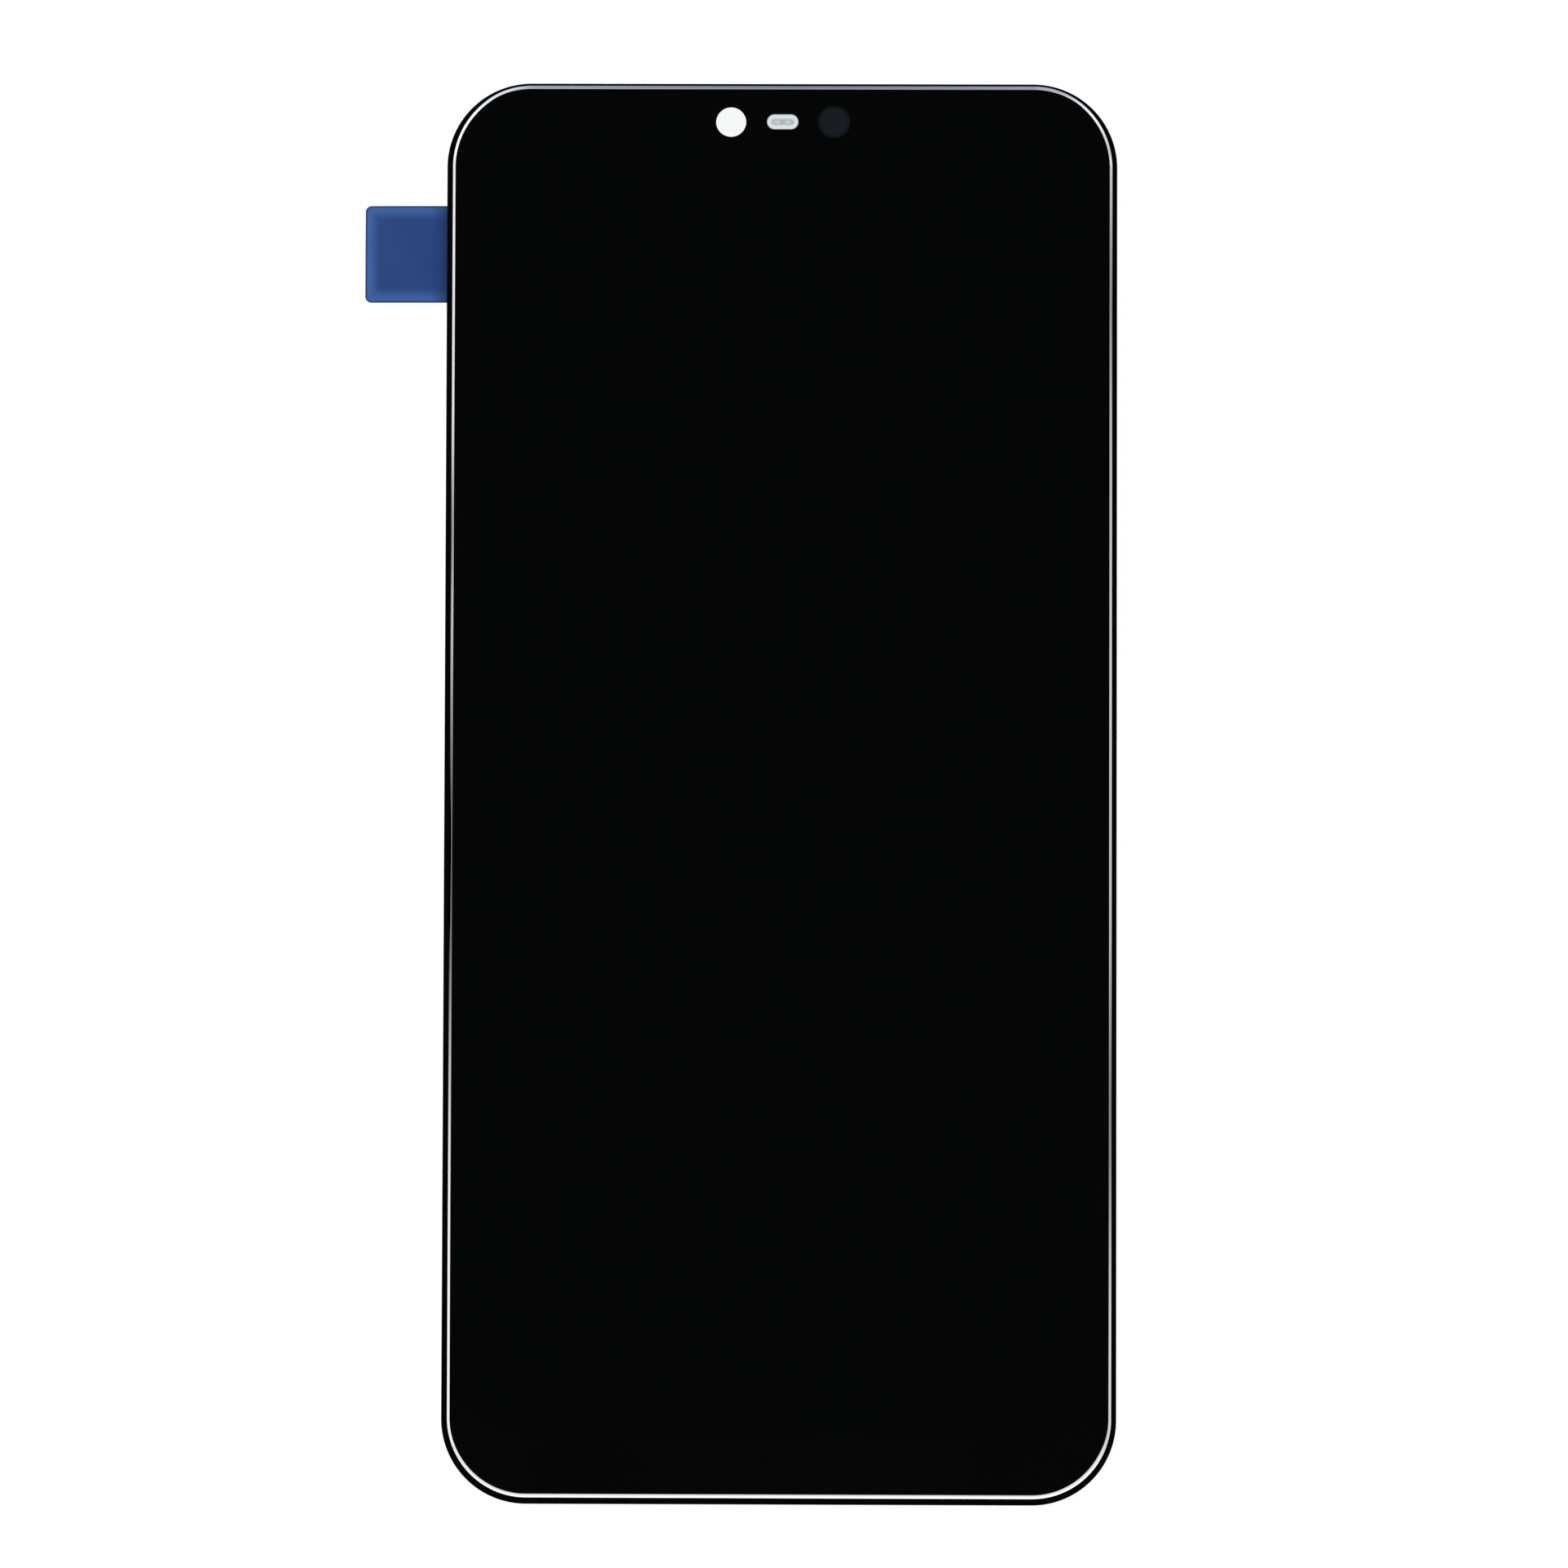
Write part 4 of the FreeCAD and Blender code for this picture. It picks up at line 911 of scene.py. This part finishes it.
fold_path = [(0, fold_start, flex_top)]
for step in range(fold_steps + 1):
    angle = math.pi * step / fold_steps
    fold_path.append((0, fold_y - fold_radius * math.sin(angle), fold_middle + fold_radius * math.cos(angle)))
fold_path.append((0, fold_end, flex_back))
tail_path = [(0, tail_start, flex_back), (0, tail_end, flex_back)]
copper_lines = copper_tree()
line_copper = finish("copper_under_film", (0.36, 0.165, 0.045), 0.26, cloud=400, drift=0.10, rough_drift=0.06,
                     depth=0.001, metallic=0.35)
line_width = 0.22 * mm
line_height = 0.012 * mm
for name, points, count, pitch, first in (("fold_copper_lines", fold_path, 62, 0.6 * mm, -18.3 * mm),
                                          ("tail_copper_lines", tail_path, 20, 0.5 * mm, -10.75 * mm)):
    guide = path_object(name + "_path", points)
    lines = grown(name, copper_lines, {"Path": guide, "Copper": line_copper, "Count": count, "Pitch": pitch,
                                       "First": first, "Width": line_width, "Height": line_height})
    bpy.data.objects.remove(guide)

# Solder joints: four rounded beads of bright solder, run on over pairs of pads. They tie the tail of
# the LED flex to the display flex.
solder_bead = finish("solder_bead", (0.60, 0.60, 0.61), 0.24, cloud=1800, grain=6000, drift=0.08, depth=0.004,
                     metallic=1.0)
dress("solder_joints", solder_bead)

# Chips and inductor: moulded black epoxy packages and a ferrite block, soldered to the outer face of
# the flex. Each package has a small round dimple at its first corner.
chip_epoxy = finish("chip_epoxy", (0.022, 0.022, 0.024), 0.52, cloud=1600, grain=12000, drift=0.16,
                    depth=0.004)
tree = chip_epoxy.node_tree
dimple_reach = (0.20 * mm, 0.20 * mm)
dimples = 0.0
for place in ((-12.9 * mm, -65.9 * mm), (3.1 * mm, -64.9 * mm)):
    dimple = soft_step(tree, oval_distance(tree, place, dimple_reach), 1.0, 0.8)
    dimples = number_of(tree, "MAXIMUM", dimples, dimple)
tint_where(tree, dimples, (0.055, 0.055, 0.058), 0.8)
ferrite = finish("inductor_ferrite", (0.085, 0.085, 0.09), 0.40, cloud=1200, grain=9000, drift=0.14,
                 depth=0.006)
dressed_copy("power_chips", "power_chips_moulded", chip_epoxy, "chip_epoxy", ease=0.05 * mm)
dressed_copy("power_inductor", "power_inductor_block", ferrite, "ferrite", ease=0.06 * mm)

# Capacitors and resistors: fired ceramic blocks with tinned ends, all of one size in each kind. They
# stand in rows beside the chips, soldered by their ends.
capacitor_brown = finish("capacitor_brown", (0.34, 0.235, 0.145), 0.38, cloud=2200, grain=14000, drift=0.12,
                         depth=0.003)
resistor_black = finish("resistor_black", (0.030, 0.030, 0.034), 0.34, cloud=2200, grain=14000, drift=0.12,
                        depth=0.003)
tinned = finish("tinned_ends", (0.70, 0.70, 0.69), 0.30, cloud=2600, grain=9000, drift=0.06, depth=0.004,
                metallic=1.0)
dressed_copy("ceramic_capacitors", "capacitor_bodies", capacitor_brown, "capacitor_ceramic", ease=0.03 * mm)
dressed_copy("chip_resistors", "resistor_bodies", resistor_black, "chip_epoxy", ease=0.02 * mm)
dressed_copy("capacitor_terminals", "capacitor_ends", tinned, "tinned_ends", ease=0.04 * mm)
dressed_copy("resistor_terminals", "resistor_ends", tinned, "tinned_ends", ease=0.03 * mm)

# Test pads: round spots of copper plated with thin gold, left bare of the cover film, where a probe
# touches the flex.
gold = finish("thin_gold_plate", (0.80, 0.56, 0.20), 0.22, cloud=1500, grain=8000, drift=0.06,
              rough_drift=0.06, depth=0.002, metallic=1.0)
dressed_copy("test_pads", "test_pads_plated", gold, "gold_plate", ease=0.01 * mm)

# Board plug: a low body moulded in black polymer with a groove along its middle. Gold strips are bent
# over both long walls, and a tinned clip holds each end down.
plug_polymer = finish("plug_polymer", (0.030, 0.030, 0.031), 0.42, cloud=1500, grain=9000, drift=0.12,
                      depth=0.004)
plug_low, plug_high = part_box("board_connector")
plug_x = (plug_low.x + plug_high.x) / 2
plug_y = (plug_low.y + plug_high.y) / 2
plug_half_length = (plug_high.x - plug_low.x) / 2
plug_half_width = (plug_high.y - plug_low.y) / 2
plug_ease = 0.05 * mm
first_ease = 0.3 * plug_ease
groove_half_length = plug_half_length - 0.5 * mm
groove_half_width = plug_half_width - 0.7 * mm
crest_z = plug_low.z + 0.004 * mm
groove_z = plug_low.z + 0.40 * mm
hook_sheet = 0.05 * mm
hook_half_width = 0.08 * mm
hook_bend = 0.12 * mm
hook_bend_steps = 6
hook_foot = 0.75 * mm
hook_tip_z = plug_low.z + 0.37 * mm
hook_pitch = 0.40 * mm
hook_count = 20

# Half length, half width, corner and height of each loop, from the foot over the crest into the groove.
plug = bmesh.new()
plug_loops = []
for half_length, half_width, corner, z in (
    (plug_half_length, plug_half_width, 0.15 * mm, plug_high.z),
    (plug_half_length, plug_half_width, 0.15 * mm, crest_z + plug_ease),
    (plug_half_length - first_ease, plug_half_width - first_ease, 0.14 * mm, crest_z + first_ease),
    (plug_half_length - plug_ease, plug_half_width - plug_ease, 0.12 * mm, crest_z),
    (groove_half_length + plug_ease, groove_half_width + plug_ease, 0.14 * mm, crest_z),
    (groove_half_length, groove_half_width, 0.10 * mm, crest_z + plug_ease),
    (groove_half_length, groove_half_width, 0.10 * mm, groove_z),
):
    loop = rounded_loop(half_length, half_width, corner, steps=6)
    plug_loops.append([plug.verts.new((plug_x + x, plug_y + y, z)) for x, y in loop])
close_tube(plug, plug_loops)
add_piece(made_mesh("board_plug_body", plug), "board_connector", "plug_polymer", plug_polymer)


def hook_mesh():
    """One contact: a strip that lies flat on the flex, climbs the wall, bends over it and ends inside."""
    out_y = plug_half_width + hook_sheet / 2
    in_y = groove_half_width - hook_sheet / 2
    top_z = crest_z - hook_sheet / 2
    foot_z = plug_high.z - hook_sheet / 2
    wall_y = (plug_half_width + groove_half_width) / 2
    path = [(wall_y + hook_foot, foot_z)]
    for centre_y, centre_z, start, turn in ((out_y + hook_bend, foot_z - hook_bend, 90, 90),
                                            (out_y - hook_bend, top_z + hook_bend, 360, -90),
                                            (in_y + hook_bend, top_z + hook_bend, 270, -90)):
        for step in range(hook_bend_steps + 1):
            angle = math.radians(start + turn * step / hook_bend_steps)
            path.append((centre_y + hook_bend * math.cos(angle), centre_z + hook_bend * math.sin(angle)))
    path.append((in_y, hook_tip_z))
    strip = bmesh.new()
    rails = []
    for i, (y, z) in enumerate(path):
        ahead = Vector(path[min(i + 1, len(path) - 1)]) - Vector(path[max(i - 1, 0)])
        out = Vector((-ahead.y, ahead.x)).normalized() * hook_sheet / 2
        rails.append([strip.verts.new((hook_half_width * sx, y + out.x * side, z + out.y * side))
                      for sx, side in ((-1, -1), (1, -1), (1, 1), (-1, 1))])
    close_tube(strip, rails)
    return made_mesh("plug_hook", strip)


def hook_tree():
    """Two facing rows of one hook, side by side at an even pitch about the middle of the plug."""
    tree, given = growth_tree("hook_rows", {"Hook": "Object", "Plating": "Material", "Count": "Int",
                                            "Pitch": "Float", "Middle": "Vector"})
    hook = add_node(tree, "GeometryNodeObjectInfo", {"Object": given["Hook"]}).outputs["Geometry"]
    gaps = number_of(tree, "SUBTRACT", given["Count"], 1.0)
    first = number_of(tree, "MULTIPLY", number_of(tree, "MULTIPLY", gaps, given["Pitch"]), -0.5)
    row = side_by_side(tree, hook, given["Count"], first, given["Pitch"])
    facing = add_node(tree, "GeometryNodeTransform", {"Geometry": row, "Rotation": (0, 0, math.pi)})
    both = add_node(tree, "GeometryNodeJoinGeometry", {"Geometry": row})
    tree.links.new(facing.outputs["Geometry"], both.inputs["Geometry"])
    placed = add_node(tree, "GeometryNodeTransform", {"Geometry": both, "Translation": given["Middle"]})
    return end_tree(tree, placed, given["Plating"])


one_hook = bpy.data.objects.new("plug_hook", hook_mesh())
scene.collection.objects.link(one_hook)
hook_sizes = {"Hook": one_hook, "Plating": gold, "Count": hook_count, "Pitch": hook_pitch,
              "Middle": (plug_x, plug_y, 0)}
hooks = grown("plug_contact_hooks", hook_tree(), hook_sizes, smooth=False)
bpy.data.objects.remove(one_hook)
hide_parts("connector_contacts")
dressed_copy("connector_clips", "plug_end_clips", tinned, "tinned_ends", ease=0.03 * mm)
